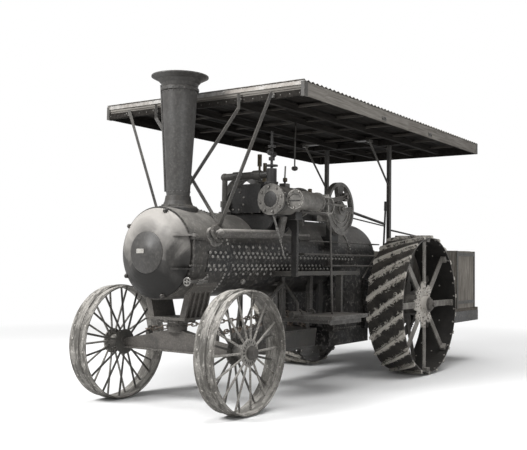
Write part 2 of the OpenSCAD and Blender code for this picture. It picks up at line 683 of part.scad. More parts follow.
module running_board() {
  y = cyl_y + 70;
  x1 = guide_x + 130;
  top = boiler_z - 157;
  color(iron) g() difference() {
    union() {
      bar(1170, x1, barrel_r - 60, y, top - 8, top);
      bar(1170, x1, y - 8, y, top - 40, top - 8);
      for (x = [1200, 1700, x1 - 40]) bar(x, x + 40, barrel_r - 100, y - 8, top - 50, top - 8);
      bar(1565, 1585, cyl_y - 6, cyl_y + 62, step_z, top - 8);
      bar(1551, 1565, cyl_y + 48, cyl_y + 62, step_z, top - 8);
    }
    along_x(firebox_x - 400, 0, boiler_z) cylinder(r = barrel_r, h = 2000, $fn = 72);
    bar(firebox_x - 400, firebox_x, 300, barrel_r, 1000, 1400);
  }
}

module side_step() {
  plank = 38;
  color(iron) g() difference() {
    union() {
      bar(1540, 2300, cyl_y - 20, 960, step_z - plank, step_z);
      bar(1580, 2230, 888, 900, step_z - plank - 52, step_z - plank);
      for (x = [1640, 2200]) {
        bar(x, x + 50, 300, 888, step_z - plank - 40, step_z - plank);
        bar(x, x + 50, 300, 340, step_z - plank, 1180);
      }
    }
    along_x(1500, 0, boiler_z) cylinder(r = barrel_r, h = 900, $fn = 144);
  }
}

module belly_tank() {
  low = tank_z - 240;
  color(iron) g() union() {
    along_x(tank_x0, 0, 0) linear_extrude(tank_x1 - tank_x0)
      polygon([for (p = [[low + 240, -tank_y], [low + 50, 20 - tank_y], [low + 15, 80 - tank_y],
      [low, 150 - tank_y], [low, tank_y - 150], [low + 15, tank_y - 80], [low + 50, tank_y - 20],
      [low + 240, tank_y]]) [-p[0], p[1]]]);
    difference() {
      for (x = [tank_x0 + 130, tank_x1 - 190]) for (s = [-1, 1])
        bar(x, x + 60, s > 0 ? tank_y - 30 : 18 - tank_y, s > 0 ? tank_y - 18 : 30 - tank_y,
        tank_z - 10, 1140);
      along_x(tank_x0, 0, boiler_z) cylinder(r = barrel_r, h = 800, $fn = 72);
    }
  }
}

module injector() {
  z = step_z - 4;
  color(brass) g() difference() {
    union() {
      along_x(2080, 480, z) cylinder(r = 34, h = 210, $fn = 20);
      bar(2200, 2250, 458, 502, step_z - 38, z);
      along_x(2110, 480, z) cylinder(r = 50, h = 40, $fn = 6);
      along_x(2056, 480, z) cylinder(r = 16, h = 30, $fn = 16);
      along_x(1900, 480, z) cylinder(r = 14, h = 160, $fn = 16);
      plate_x(1880, 24) translate([480, z]) difference() {
        circle(r = 44);
        for (a = [45 : 90 : 315]) rotate(a) translate([24, 0]) circle(r = 9);
      }
      pipe([[2170, 480, z], [2170, 480, z + 110], [2170, 300, z + 330]], 15);
    }
    along_x(2000, 0, boiler_z) cylinder(r = barrel_r, h = 400, $fn = 72);
  }
}

// small screw valve on the smokebox side with its hand wheel forward
module drain_valve() {
  y = 400;
  z = boiler_z - 246;
  color(brass) g() difference() {
    union() {
      rod([smokebox_x - 110, 300, z], [smokebox_x - 110, y, z], 17, 16);
      along_x(smokebox_x - 140, y, z) cylinder(r = 24, h = 60, $fn = 6);
      along_x(smokebox_x - 210, y, z) cylinder(r = 13, h = 270, $fn = 16);
      along_x(smokebox_x + 56, y, z) rotate_extrude($fn = 32) translate([34, 0]) circle(r = 6, $fn = 16);
      for (a = [0 : 90 : 270])
        along_x(smokebox_x + 56, y, z) rotate([0, 90, a]) cylinder(r = 4, h = 34, $fn = 12);
      along_x(smokebox_x + 46, y, z) cylinder(r = 9, h = 20, $fn = 16);
      rod([smokebox_x - 150, y, z + 6], [smokebox_x - 225, y, z + 46], 7, 12);
      rod([smokebox_x - 225, y, z + 30], [smokebox_x - 225, y, z + 60], 8, 12);
    }
    along_x(smokebox_x - 300, 0, boiler_z) cylinder(r = smokebox_r, h = 400, $fn = 72);
  }
}

// feed pipe from the tank to the barrel's left side
module feed_pipe() {
  color(iron) g() difference() {
    union() pipe([[2300, 240, boiler_z - 287], [2300, 370, boiler_z - 287], [2590, 420, 975],
      [2670, 410, 900], [2660, 400, 640], [2560, 330, tank_z - 60], [tank_x1 + 70, 230, tank_z - 90],
      [tank_x1, 230, tank_z - 90]], 22);
    along_x(2000, 0, boiler_z) cylinder(r = barrel_r, h = 500, $fn = 144);
  }
}

module rear_axle() {
  color(steel) g() along_y(0, 4 - rear_y - 200, axle_z) cylinder(r = 50, h = 2 * (rear_y + 196), $fn = 40);
}

module side_plate(s) {
  difference() {
    plate_y(s > 0 ? barrel_r : -barrel_r - cheek_t, cheek_t)
      polygon([[-140, deck_z - deck_t], [560, deck_z - deck_t], [620, 900], [620, 1150],
      [300, boiler_z + 13], [-90, boiler_z + 13], [-140, 1200]]);
    along_y(0, -600, axle_z) cylinder(r = 50.05, h = 1200, $fn = 40);
    along_y(counter_x, -600, counter_z) cylinder(r = 30.05, h = 1200, $fn = 32);
  }
}
module side_plates() {
  color(iron) g() union() {
    side_plate(1);
    side_plate(-1);
  }
}

module countershaft() {
  color(steel) g() along_y(counter_x, 6 - ring_y1, counter_z)
    cylinder(r = 30, h = 2 * (ring_y1 - 6), $fn = 32);
}

// crank pinion, intermediate wheel and differential wheel on the right side
module drive_gear() {
  y = -gear_y - gear_w;
  color(iron) g() difference() {
    union() {
      for (c = [[crank_x, crank_z, crank_n], [inter_x, inter_z, inter_n],
        [counter_x, counter_z, diff_n]]) plate_y(y, gear_w) translate([c[0], c[1]])
        gear_2d(c[2], gear_m);
      along_y(inter_x, y - 12, inter_z) cylinder(r = 70, h = gear_w + 20);
      along_y(inter_x, y + gear_w - 4, inter_z) cylinder(r = 40, h = gear_y + 4 - post_y + 145);
    }
    for (c = [[inter_x, inter_z, inter_n * gear_m / 2 - 44, 90], [counter_x, counter_z,
      diff_n * gear_m / 2 - 44, 110]])
      for (a = [0 : 60 : 300]) plate_y(y - 50, gear_w + 100) translate([c[0], c[1]])
        polygon(concat([for (q = [a + 8, a + 30, a + 52]) [c[2] * cos(q), c[2] * sin(q)]],
          [for (q = [a + 46, a + 30, a + 14]) [c[3] * cos(q), c[3] * sin(q)]]));
    along_y(crank_x, -700, crank_z) cylinder(r = shaft_r + 0.05, h = 300, $fn = 32);
    along_y(counter_x, -700, counter_z) cylinder(r = 30.05, h = 300, $fn = 32);
    along_x(firebox_x - 900, 0, boiler_z) cylinder(r = barrel_r, h = 1600, $fn = 72);
  }
}

module pinion(s) {
  difference() {
    plate_y(s > 0 ? ring_y0 : 6 - ring_y1, ring_y1 - ring_y0 - 6) translate([counter_x, counter_z])
      rotate(pinion_turn) gear_2d(pinion_n, gear_m);
    along_y(counter_x, -900, counter_z) cylinder(r = 30.08, h = 1800, $fn = 32);
  }
}
module pinion_left() { color(steel) g() pinion(1); }
module pinion_right() { color(steel) g() pinion(-1); }

module platform_frame() {
  top = deck_z - deck_t;
  color(iron) g() union() {
    for (s = [-1, 1]) {
      bar(sill_x, 640, s > 0 ? barrel_r : -barrel_r - 60, s > 0 ? barrel_r + 60 : -barrel_r, sill_z, top);
      bar(sill_x + 60, -1010, s > 0 ? bunker_y - 50 : -bunker_y, s > 0 ? bunker_y : 50 - bunker_y,
        sill_z, top);
    }
    for (x = [sill_x, -1010]) bar(x, x + 60, -bunker_y, bunker_y, sill_z, top);
    bar(backhead_x - 60, backhead_x, -barrel_r, barrel_r, sill_z, top);
    difference() {
      bar(tail_x, sill_x, -70, 70, sill_z + 30, sill_z + 80);
      translate([tail_x + 22, 0, 500]) cylinder(r = 14, h = 200, $fn = 24);
    }
  }
}

module deck() {
  color(wood) g() union() {
    bar(-950, backhead_x - 2, -barrel_r, barrel_r, deck_z - deck_t, deck_z);
    bar(sill_x, -950, -bunker_y, bunker_y, deck_z - deck_t, deck_z);
  }
}

module fuel_bunker() {
  wall = 30;
  color(wood) g() difference() {
    bar(bunker_x, bunker_x + bunker_l, -bunker_y, bunker_y, deck_z, bunker_z);
    bar(bunker_x + wall, bunker_x + bunker_l - wall, wall - bunker_y, bunker_y - wall, deck_z + wall,
      bunker_z + 10);
    bar(bunker_x + bunker_l - 2 * wall, bunker_x + bunker_l + 10, -300, 300, bunker_z - 372, bunker_z + 10);
  }
}

module canopy_frame() {
  low = canopy_z - fascia_h;
  color(wood) g() difference() {
    union() {
      for (s = [-1, 1]) {
        bar(canopy_x0, canopy_x1, s > 0 ? canopy_y - board_t : -canopy_y,
          s > 0 ? canopy_y : board_t - canopy_y,
          low, canopy_z);
        for (y = [290, 660]) bar(canopy_x0 + board_t, canopy_x1 - board_t, s * y - timber / 2,
          s * y + timber / 2, low + 28, canopy_z - 34);
      }
      for (x = [canopy_x0, canopy_x1 - board_t])
        bar(x, x + board_t, board_t - canopy_y, canopy_y - board_t, low, canopy_z);
      bar(canopy_x1 - 1, canopy_x1 + 14, 8 - canopy_y, canopy_y - 8, low, low + 56);
      for (i = [0 : bays]) bar(cross_x(i), cross_x(i) + timber, board_t - canopy_y, canopy_y - board_t,
        canopy_z - 34, canopy_z);
      bar(post_x - 40, post_x + 40, -660, 660, low + 28, canopy_z - 34);
    }
    for (x = [1670, 459]) for (s = [-1, 1])
      bar(x, x + 7, s * canopy_y - 4, s * canopy_y + 4, low - 1, canopy_z + 1);
  }
}

module canopy_roof() {
  function wave(i, t) = [canopy_x0 - 14 + i * wave_l, canopy_z + t + 8 * (1 - cos(i * 90))];
  color(iron) g() plate_y(-canopy_y - 6, 2 * canopy_y + 12)
    polygon(concat([for (i = [0 : 4 * waves + 2]) wave(i, 0)],
      [for (i = [4 * waves + 2 : -1 : 0]) wave(i, 2)]));
}

module rear_posts() {
  top = canopy_z - fascia_h + 28;
  color(iron) g() union() for (s = [-1, 1]) {
    y = s * post_y;
    bar(post_x - 25, post_x + 25, y - 21, y + 21, boiler_z - 147, top);
    rod([post_x, y, top - 520], [post_x + 540, y, top - 22], 12, 12);
    bar(post_x + 500, post_x + 590, y - 21, y + 21, top - 30, top);
    for (t = [[post_x + 500, 270, 470]])
      bar(t[0], t[0] + 90, s > 0 ? t[1] : -t[2], s > 0 ? t[2] : -t[1], top - 12, top);
    pipe([[post_x - 20, y, 1750], [bunker_x + bunker_l + 40, y, 1690],
      [bunker_x + bunker_l - 20, y, 1640], [bunker_x + bunker_l - 20, y, bunker_z]], 11);
  }
}

module front_braces() {
  low = canopy_z - fascia_h;
  foot = brace_foot;
  color(iron) g() difference() {
    union() for (s = [-1, 1]) {
      rod([brace_x, s * brace_y[0], low + 60], [foot[0], s * foot[1], foot[2]], 19, 4);
      rod([brace_x, s * brace_y[1], low + 80], [brace_x, s * brace_y[1], low - 60], 19, 4);
      rod([brace_x, s * brace_y[1], low - 50], [foot[0] + s * 21, -s * foot[1], foot[2]], 19, 4);
      for (y = brace_y) bar(canopy_x1 + 14, brace_x, s * y - 20, s * y + 20, low + 8, low + 56);
    }
    along_x(3000, 0, boiler_z) cylinder(r = smokebox_r, h = 800, $fn = 72);
  }
}

module steering_column() {
  x = column[0];
  y = column[1];
  color(iron) g() union() {
    rod([x, y, deck_z + 60], [x + 40, y, 1560], 17, 16);
    bar(x - 50, x + 50, y - 50, y + 50, deck_z, deck_z + 70);
    translate([x + 41, y, 1570]) rotate([0, 3, 0]) {
      rotate_extrude($fn = 48) translate([205, 0]) circle(r = 12, $fn = 16);
      for (a = [0 : 72 : 288]) rotate([0, 90, a]) cylinder(r = 8, h = 200, $fn = 16);
      translate([0, 0, -20]) cylinder(r = 34, h = 40, $fn = 20);
      translate([150, 130, 0]) cylinder(r = 13, h = 110, $fn = 16);
    }
  }
}

module steering_gear() {
  sy = -barrel_r - 95;
  color(iron) g() union() {
    along_y(roller_x, sy - 20, roller_z) cylinder(r = 26, h = 310 - sy + 20, $fn = 24);
    along_y(roller_x, -200, roller_z) cylinder(r = roller_r, h = 400, $fn = 32);
    for (y = [-290, 260]) difference() {
      bar(roller_x - 40, roller_x + 40, y, y + 30, roller_z - 60, boiler_z - 247);
      along_x(roller_x - 100, 0, boiler_z) cylinder(r = barrel_r, h = 200, $fn = 72);
    }
    along_y(roller_x, sy - 20, roller_z) cylinder(r = 58, h = 40, $fn = 32);
    along_x(column[0], sy, shaft_z) cylinder(r = 14, h = roller_x + 60 - column[0], $fn = 16);
    bar(column[0] - 32, column[0] + 32, sy - 30, sy + 30, shaft_z - 24, shaft_z + 40);
    along_y(column[0], sy, shaft_z + 16) cylinder(r = 13, h = column[1] - 50 - sy, $fn = 16);
  }
}

// chain link of flat-sided bar, its long axis along X
module link_2d() {
  l = link_l / 2;
  w = link_w / 2;
  t = link_t;
  difference() {
    polygon([[-l, -w / 2], [-l, w / 2], [w / 2 - l, w], [l - w / 2, w], [l, w / 2], [l, -w / 2],
      [l - w / 2, -w], [w / 2 - l, -w]]);
    polygon([[t - l, 4 - w / 2], [t - l, w / 2 - 4], [w / 2 + 4 - l, w - t], [l - w / 2 - 4, w - t],
      [l - t, w / 2 - 4], [l - t, 4 - w / 2], [l - w / 2 - 4, t - w], [w / 2 + 4 - l, t - w]]);
  }
}
// steering chain from the roller to the axle's eye, every other link on edge
module chain(s) {
  a = [roller_x, s * 110, roller_z + roller_r + link_w / 2 - 5.2];
  b = [wheelbase - 62, s * 400, 660 + link_w / 2 - 3];
  d = b - a;
  n = round(norm(d) / chain_gap);
  translate(a) rotate([0, 0, atan2(d[1], d[0])]) rotate([0, -asin(d[2] / norm(d)), 0])
    for (i = [0 : n]) translate([i * norm(d) / n, 0, 0]) rotate([i % 2 * 90, 0, 0])
      translate([0, 0, -link_t / 2]) linear_extrude(link_t) link_2d();
}
module chain_left() { color(iron) g() chain(1); }
module chain_right() { color(iron) g() chain(-1); }

module reverse_lever() {
  y = post_y - 4;
  x1 = crank_x - 87.5;
  color(iron) g() union() {
    bar(100, 160, barrel_r + cheek_t, y + 14, boiler_z - 97, boiler_z + 3);
    rod([130, y, boiler_z - 20], [70, y, 2000], 12, 16);
    rod([88, y, 1818], [x1, y, 1955], 16, 16);
    rod([90, y, 1792], [x1, y, 1872], 8, 16);
    rod([72, y, 1985], [66, y, 2100], 17, 16);
  }
}

// fish-bellied beam with the axle ends and the turning pin
module axle_beam() {
  color(iron) g() union() {
    along_x(wheelbase - 40, 0, 0) linear_extrude(80)
      polygon([for (p = [[507, -600], [507, 600], [590, 600], [640, 330], [690, 100], [690, -100],
      [640, -330], [590, -600]]) [-p[0], p[1]]]);
    bar(wheelbase - 60, wheelbase + 60, -600, 600, 495, 508);
    translate([wheelbase, 0, 680]) cylinder(r = 92, h = 55);
    translate([wheelbase, 0, 700]) cylinder(r = 30, h = 106, $fn = 32);
    along_y(wheelbase, -front_y - 112, front_r) cylinder(r = 32, h = 2 * front_y + 224, $fn = 32);
    for (s = [-1, 1]) bar(wheelbase - 90, wheelbase - 35, s * 400 - 20, s * 400 + 20, 600, 660);
  }
}

module front_rim() {
  rotate([-90, 0, 0]) rotate_extrude($fn = 72)
    polygon([[front_rim_i, -front_half], [front_rim, -front_half], [front_rim, -28], [front_r, -22],
    [front_r, 22], [front_rim, 28], [front_rim, front_half], [front_rim_i, front_half]]);
}

// hub with two flanges and two rows of round spokes
module front_spokes_hub() {
  difference() {
    intersection() {
      union() {
        rotate([-90, 0, 0]) translate([0, 0, -95]) cylinder(r = 62, h = 205, $fn = 32);
        for (y = [-87, 73]) rotate([-90, 0, 0]) translate([0, 0, y]) cylinder(r = 119, h = 14, $fn = 40);
        rotate([-90, 0, 0]) translate([0, 0, 110]) cylinder(r1 = 62, r2 = 40, h = 40, $fn = 32);
        for (i = [0 : 2 * front_spokes - 1]) rotate([0, i * 180 / front_spokes, 0])
          rod([40, i % 2 == 0 ? 80 : -80, 0], [front_rim + 20, i % 2 == 0 ? 14 : -14, 0], 10, 8);
      }
      rotate([-90, 0, 0]) translate([0, 0, -300]) cylinder(r = front_rim_i + 4, h = 600, $fn = 72);
    }
    rotate([-90, 0, 0]) translate([0, 0, -100]) cylinder(r = 32.05, h = 214, $fn = 32);
  }
}
module front_wheel() {
  union() {
    front_rim();
    front_spokes_hub();
  }
}
module front_wheel_left() { color(wheel_c) g() translate([wheelbase, front_y, front_r]) front_wheel(); }
module front_wheel_right() {
  color(wheel_c) g() translate([wheelbase, -front_y, front_r]) mirror([0, 1, 0]) front_wheel();
}

module rear_rim() {
  union() {
    rotate([-90, 0, 0]) rotate_extrude($fn = 72) translate([rim_i, -rear_half])
      square([rim_r - rim_i, rear_w]);
    for (i = [0 : lug_n - 1]) rotate([0, i * 360 / lug_n, 0]) intersection() {
      rotate([-90, 0, 0]) rotate_extrude($fn = 72) translate([rim_r - 4, -rear_half])
        square([lug_h + 4, rear_w]);
      rotate([lug_a, 0, 0]) translate([rim_r - 120, -400, -17]) cube([200, 800, 34]);
    }
  }
}

// flat-bar spokes on a lobed hub, with the ring gear on the inner row
module rear_spokes_hub() {
  difference() {
    intersection() {
      union() {
        rotate([-90, 0, 0]) translate([0, 0, -165]) cylinder(r1 = 125, r2 = 95, h = 365, $fn = 40);
        rotate([-90, 0, 0]) translate([0, 0, 199]) cylinder(r = 72, h = 26, $fn = 32);
        rotate([-90, 0, 0]) translate([0, 0, 225]) cylinder(r1 = 72, r2 = 44, h = 26, $fn = 32);
        rotate([-90, 0, 0]) translate([0, 0, 250]) cylinder(r = 30, h = 26, $fn = 6);
        for (c = [[112, 22.5], [-120, 0]]) rotate([90, c[1], 0]) translate([0, 0, -c[0] - 16])
          linear_extrude(16) polygon([for (i = [0 : rear_spokes - 1])
          for (q = [[-11, 280], [11, 280], [22.5, 190]])
          let (a = i * 360 / rear_spokes + q[0] + 22.5) [q[1] * cos(a), q[1] * sin(a)]]);
        for (i = [0 : 2 * rear_spokes - 1]) rotate([0, i * 180 / rear_spokes, 0]) {
          y = i % 2 == 0 ? 127 : -132;
          translate([150, y, -36]) cube([rim_i - 140, 16, 72]);
          translate([rim_i - 40, i % 2 == 0 ? y : y - 50, -36]) cube([60, 66, 72]);
        }
      }
      rotate([-90, 0, 0]) translate([0, 0, -300]) cylinder(r = rim_i, h = 600, $fn = 72);
    }
    rotate([-90, 0, 0]) translate([0, 0, -200]) cylinder(r = 50.05, h = 398, $fn = 40);
  }
}
module rear_rim_left() { color(wheel_c) g() translate([0, rear_y, axle_z]) rear_rim(); }
module rear_rim_right() {
  color(wheel_c) g() translate([0, -rear_y, axle_z]) mirror([0, 1, 0]) rear_rim();
}
module rear_spokes_left() { color(wheel_c) g() translate([0, rear_y, axle_z]) rear_spokes_hub(); }
module rear_spokes_right() {
  color(wheel_c) g() translate([0, -rear_y, axle_z]) mirror([0, 1, 0]) rear_spokes_hub();
}
module ring_gear(s) {
  translate([0, s > 0 ? ring_y0 : -ring_y1, axle_z]) rotate([90, 0, 0]) mirror([0, 0, 1])
    linear_extrude(ring_y1 - ring_y0) difference() {
      gear_2d(ring_n, gear_m);
      circle(r = ring_r - 50, $fn = 60);
    }
}
module ring_gear_left() { color(steel) g() ring_gear(1); }
module ring_gear_right() { color(steel) g() ring_gear(-1); }

smokebox();
smokebox_door();
boiler_barrel();
firebox();
fire_door();
ash_pan();
stack_base();
smokestack();
front_pedestal();
steam_dome();
safety_valve();
cylinder_saddle();
outer_cylinder();
inner_cylinder();
valve_chest();
guide_bars();
crossheads();
connecting_rods();
crankshaft();
crank_disc();
flywheel();
crank_bearings();
exhaust_pipe();
steam_pipe();
governor();
engine_bracket();
guard_rail();
running_board();
side_step();
belly_tank();
injector();
drain_valve();
feed_pipe();
rear_axle();
side_plates();
countershaft();
drive_gear();
pinion_left();
pinion_right();
platform_frame();
deck();
fuel_bunker();
canopy_frame();
canopy_roof();
rear_posts();
front_braces();
steering_column();
steering_gear();
chain_left();
chain_right();
reverse_lever();
axle_beam();
front_wheel_left();
front_wheel_right();
rear_rim_left();
rear_spokes_left();
ring_gear_left();
rear_rim_right();
rear_spokes_right();
ring_gear_right();
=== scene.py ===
import math
import random

import bmesh
import bpy
from mathutils import Matrix, Vector


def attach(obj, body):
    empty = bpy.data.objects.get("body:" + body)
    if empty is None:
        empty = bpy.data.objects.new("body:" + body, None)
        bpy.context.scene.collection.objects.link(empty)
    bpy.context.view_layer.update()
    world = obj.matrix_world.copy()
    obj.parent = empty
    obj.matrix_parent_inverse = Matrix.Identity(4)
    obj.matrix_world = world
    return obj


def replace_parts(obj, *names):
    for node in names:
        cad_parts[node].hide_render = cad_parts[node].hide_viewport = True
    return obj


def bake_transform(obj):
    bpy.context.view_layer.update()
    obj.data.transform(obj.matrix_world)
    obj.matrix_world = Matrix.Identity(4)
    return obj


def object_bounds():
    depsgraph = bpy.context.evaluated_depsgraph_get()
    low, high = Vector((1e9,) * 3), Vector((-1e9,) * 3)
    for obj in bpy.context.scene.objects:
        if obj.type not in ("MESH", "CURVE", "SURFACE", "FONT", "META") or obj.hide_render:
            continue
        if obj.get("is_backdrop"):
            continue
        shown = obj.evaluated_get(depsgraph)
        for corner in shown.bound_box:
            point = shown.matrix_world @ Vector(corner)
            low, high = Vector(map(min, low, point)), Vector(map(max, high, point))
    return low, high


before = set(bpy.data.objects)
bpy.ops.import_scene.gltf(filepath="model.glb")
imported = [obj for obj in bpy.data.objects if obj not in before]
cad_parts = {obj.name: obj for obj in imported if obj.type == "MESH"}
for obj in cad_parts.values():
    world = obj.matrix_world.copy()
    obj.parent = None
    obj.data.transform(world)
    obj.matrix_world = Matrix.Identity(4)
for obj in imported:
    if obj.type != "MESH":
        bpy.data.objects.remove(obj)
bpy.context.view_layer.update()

# Boiler shell
# Riveted steel plate in a worn black paint, one barrel with a riveted butt strap along each side.
# The smokebox and the firebox's round top are lapped over its ends and riveted to it.
REAR_AXLE_X = -1.0685
BOILER_Z = 1.397
BARREL_R = 0.405
SMOKEBOX_R = 0.418
LAP_X = 3.255
STRAP_THICK = 0.008
BAND_THICK = 0.0055
AHEAD = Vector((1, 0, 0))
LEFT = Vector((0, 1, 0))


def at(x, y, z):
    """A place in the frame, from metres ahead of the rear axle."""
    return Vector((x + REAR_AXLE_X, y, z))


def fan(count, first=0.0):
    """Evenly spread angles of one full turn."""
    return [math.radians(first + 360 * i / count) for i in range(count)]


def round_x(a):
    return Vector((0, math.cos(a), math.sin(a)))


def on_shell(x, degrees, r):
    out = round_x(math.radians(degrees))
    return at(x, 0, BOILER_Z) + r * out, out


class Work:
    """One piece in the making: a mesh that forms are added to."""

    def __init__(self):
        self.mesh = bmesh.new()

    def ring_of(self, centre, u, v, r, count, turn=0.0):
        turns = [2 * math.pi * i / count + turn for i in range(count)]
        return [self.mesh.verts.new(centre + r * math.cos(a) * u + r * math.sin(a) * v) for a in turns]

    def skin(self, rings, capped=True, smooth=True):
        for lower, upper in zip(rings, rings[1:]):
            n = len(lower)
            for i in range(n):
                face = self.mesh.faces.new((lower[i], lower[(i + 1) % n], upper[(i + 1) % n], upper[i]))
                face.smooth = smooth
        if capped:
            self.mesh.faces.new(list(reversed(rings[0])))
            self.mesh.faces.new(rings[-1])

    def hoop(self, rings):
        self.skin(rings + rings[:1], capped=False)

    def torus(self, centre, u, v, r, bar, count, sides):
        rings = []
        for a in fan(count):
            out = math.cos(a) * u + math.sin(a) * v
            rings.append(self.ring_of(centre + r * out, out, u.cross(v), bar, sides))
        self.hoop(rings)

    def turned(self, foot, normal, profile, count=12, smooth=True, turn=0.0):
        w = normal.normalized()
        u = w.orthogonal().normalized()
        rings = [self.ring_of(foot + h * w, u, w.cross(u), r, count, turn) for r, h in profile]
        self.skin(rings, smooth=smooth)

    def rivet(self, foot, normal, r, h=None, count=8):
        h = h or 0.62 * r
        head = [(r, 0), (r, 0.0012), (0.86 * r, 0.5 * h), (0.52 * r, 0.86 * h), (0.12 * r, h)]
        self.turned(foot - 0.001 * normal, normal, head, count)

    def nut(self, foot, normal, r, h, turn=0.0, stud=True):
        self.turned(foot, normal, [(r, 0), (r, 0.8 * h), (0.84 * r, h)], 6, False, turn)
        if stud:
            thread = [(0.5 * r, -0.001), (0.5 * r, 0.35 * h), (0.38 * r, 0.45 * h)]
            self.turned(foot + h * normal, normal, thread, 8)

    def tube(self, points, r, count=10):
        rings = []
        side = None
        for i, p in enumerate(points):
            way = (points[min(i + 1, len(points) - 1)] - points[max(i - 1, 0)]).normalized()
            if side is None:
                side = way.orthogonal().normalized()
            side = (side - way * side.dot(way)).normalized()
            rings.append(self.ring_of(p, side, way.cross(side), r, count))
        self.skin(rings)

    def block(self, corner, opposite, cut=0.0):
        made = bmesh.ops.create_cube(self.mesh, size=1.0)["verts"]
        for v in made:
            for k in range(3):
                pick = min if v.co[k] < 0 else max
                v.co[k] = pick(corner[k], opposite[k])
        if cut:
            edges = list({e for v in made for e in v.link_edges})
            bmesh.ops.bevel(self.mesh, geom=edges, offset=cut, segments=2, affect="EDGES", profile=0.7)

    def bent_plate(self, r0, r1, x0, x1, low, high, steps=24):
        rings = []
        for i in range(steps + 1):
            a = low + (high - low) * i / steps
            corners = [on_shell(x, a, r)[0] for x, r in ((x0, r0), (x1, r0), (x1, r1), (x0, r1))]
            rings.append([self.mesh.verts.new(c) for c in corners])
        self.skin(rings, smooth=False)

    def put(self, name, material, body="engine", rides=True):
        bmesh.ops.recalc_face_normals(self.mesh, faces=self.mesh.faces[:])
        data = bpy.data.meshes.new(name)
        self.mesh.to_mesh(data)
        self.mesh.free()
        data.materials.append(material)
        obj = bpy.data.objects.new(name, data)
        bpy.context.collection.objects.link(obj)
        if rides:
            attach(obj, body)
        return obj


class Nodes:
    """Short calls that add shader nodes to one tree."""

    def __init__(self, tree):
        self.tree = tree

    def join(self, value, socket):
        if isinstance(value, bpy.types.NodeSocket):
            self.tree.links.new(value, socket)
        else:
            socket.default_value = value

    def add(self, kind, links=(), **values):
        made = self.tree.nodes.new("ShaderNode" + kind)
        for key, value in values.items():
            setattr(made, key, value)
        for socket, value in links:
            self.join(value, made.inputs[socket])
        return made

    def place(self):
        return self.add("TexCoord").outputs["Object"]

    def parts(self, vector):
        return self.add("SeparateXYZ", [(0, vector)]).outputs

    def math(self, operation, a, b=0.0, clamp=False):
        return self.add("Math", [(0, a), (1, b)], operation=operation, use_clamp=clamp).outputs[0]

    def times(self, a, b, clamp=False):
        return self.math("MULTIPLY", a, b, clamp)

    def plus(self, a, b, clamp=False):
        return self.math("ADD", a, b, clamp)

    def vector(self, operation, a, b=(0, 0, 0)):
        answer = "Value" if operation in ("LENGTH", "DOT_PRODUCT") else "Vector"
        return self.add("VectorMath", [(0, a), (1, b)], operation=operation).outputs[answer]

    def spread(self, value, low, high, to_low=0.0, to_high=1.0):
        return self.add("MapRange", [("Value", value), ("From Min", low), ("From Max", high),
                                     ("To Min", to_low), ("To Max", to_high)]).outputs["Result"]

    def noise(self, place, scale, detail, roughness=0.5, distortion=0.0):
        return self.add("TexNoise", [("Vector", place), ("Scale", scale), ("Detail", detail),
                                     ("Roughness", roughness), ("Distortion", distortion)]).outputs["Fac"]

    def blend(self, factor, a, b, kind="MIX"):
        return self.add("Mix", [(0, factor), (6, a), (7, b)], data_type="RGBA", blend_type=kind).outputs[2]

    def cover(self, colour, mask, amount, over):
        return self.blend(self.times(mask, amount), colour, (*over, 1))


def new_group(name, inputs, outputs):
    tree = bpy.data.node_groups.new(name, "ShaderNodeTree")
    for label, value in inputs.items():
        size = len(value) if isinstance(value, tuple) else 1
        kind = {1: "NodeSocketFloat", 3: "NodeSocketVector", 4: "NodeSocketColor"}[size]
        tree.interface.new_socket(name=label, in_out="INPUT", socket_type=kind).default_value = value
    for label in outputs:
        kind = "NodeSocketColor" if label == "Colour" else "NodeSocketFloat"
        tree.interface.new_socket(name=label, in_out="OUTPUT", socket_type=kind)
    return tree


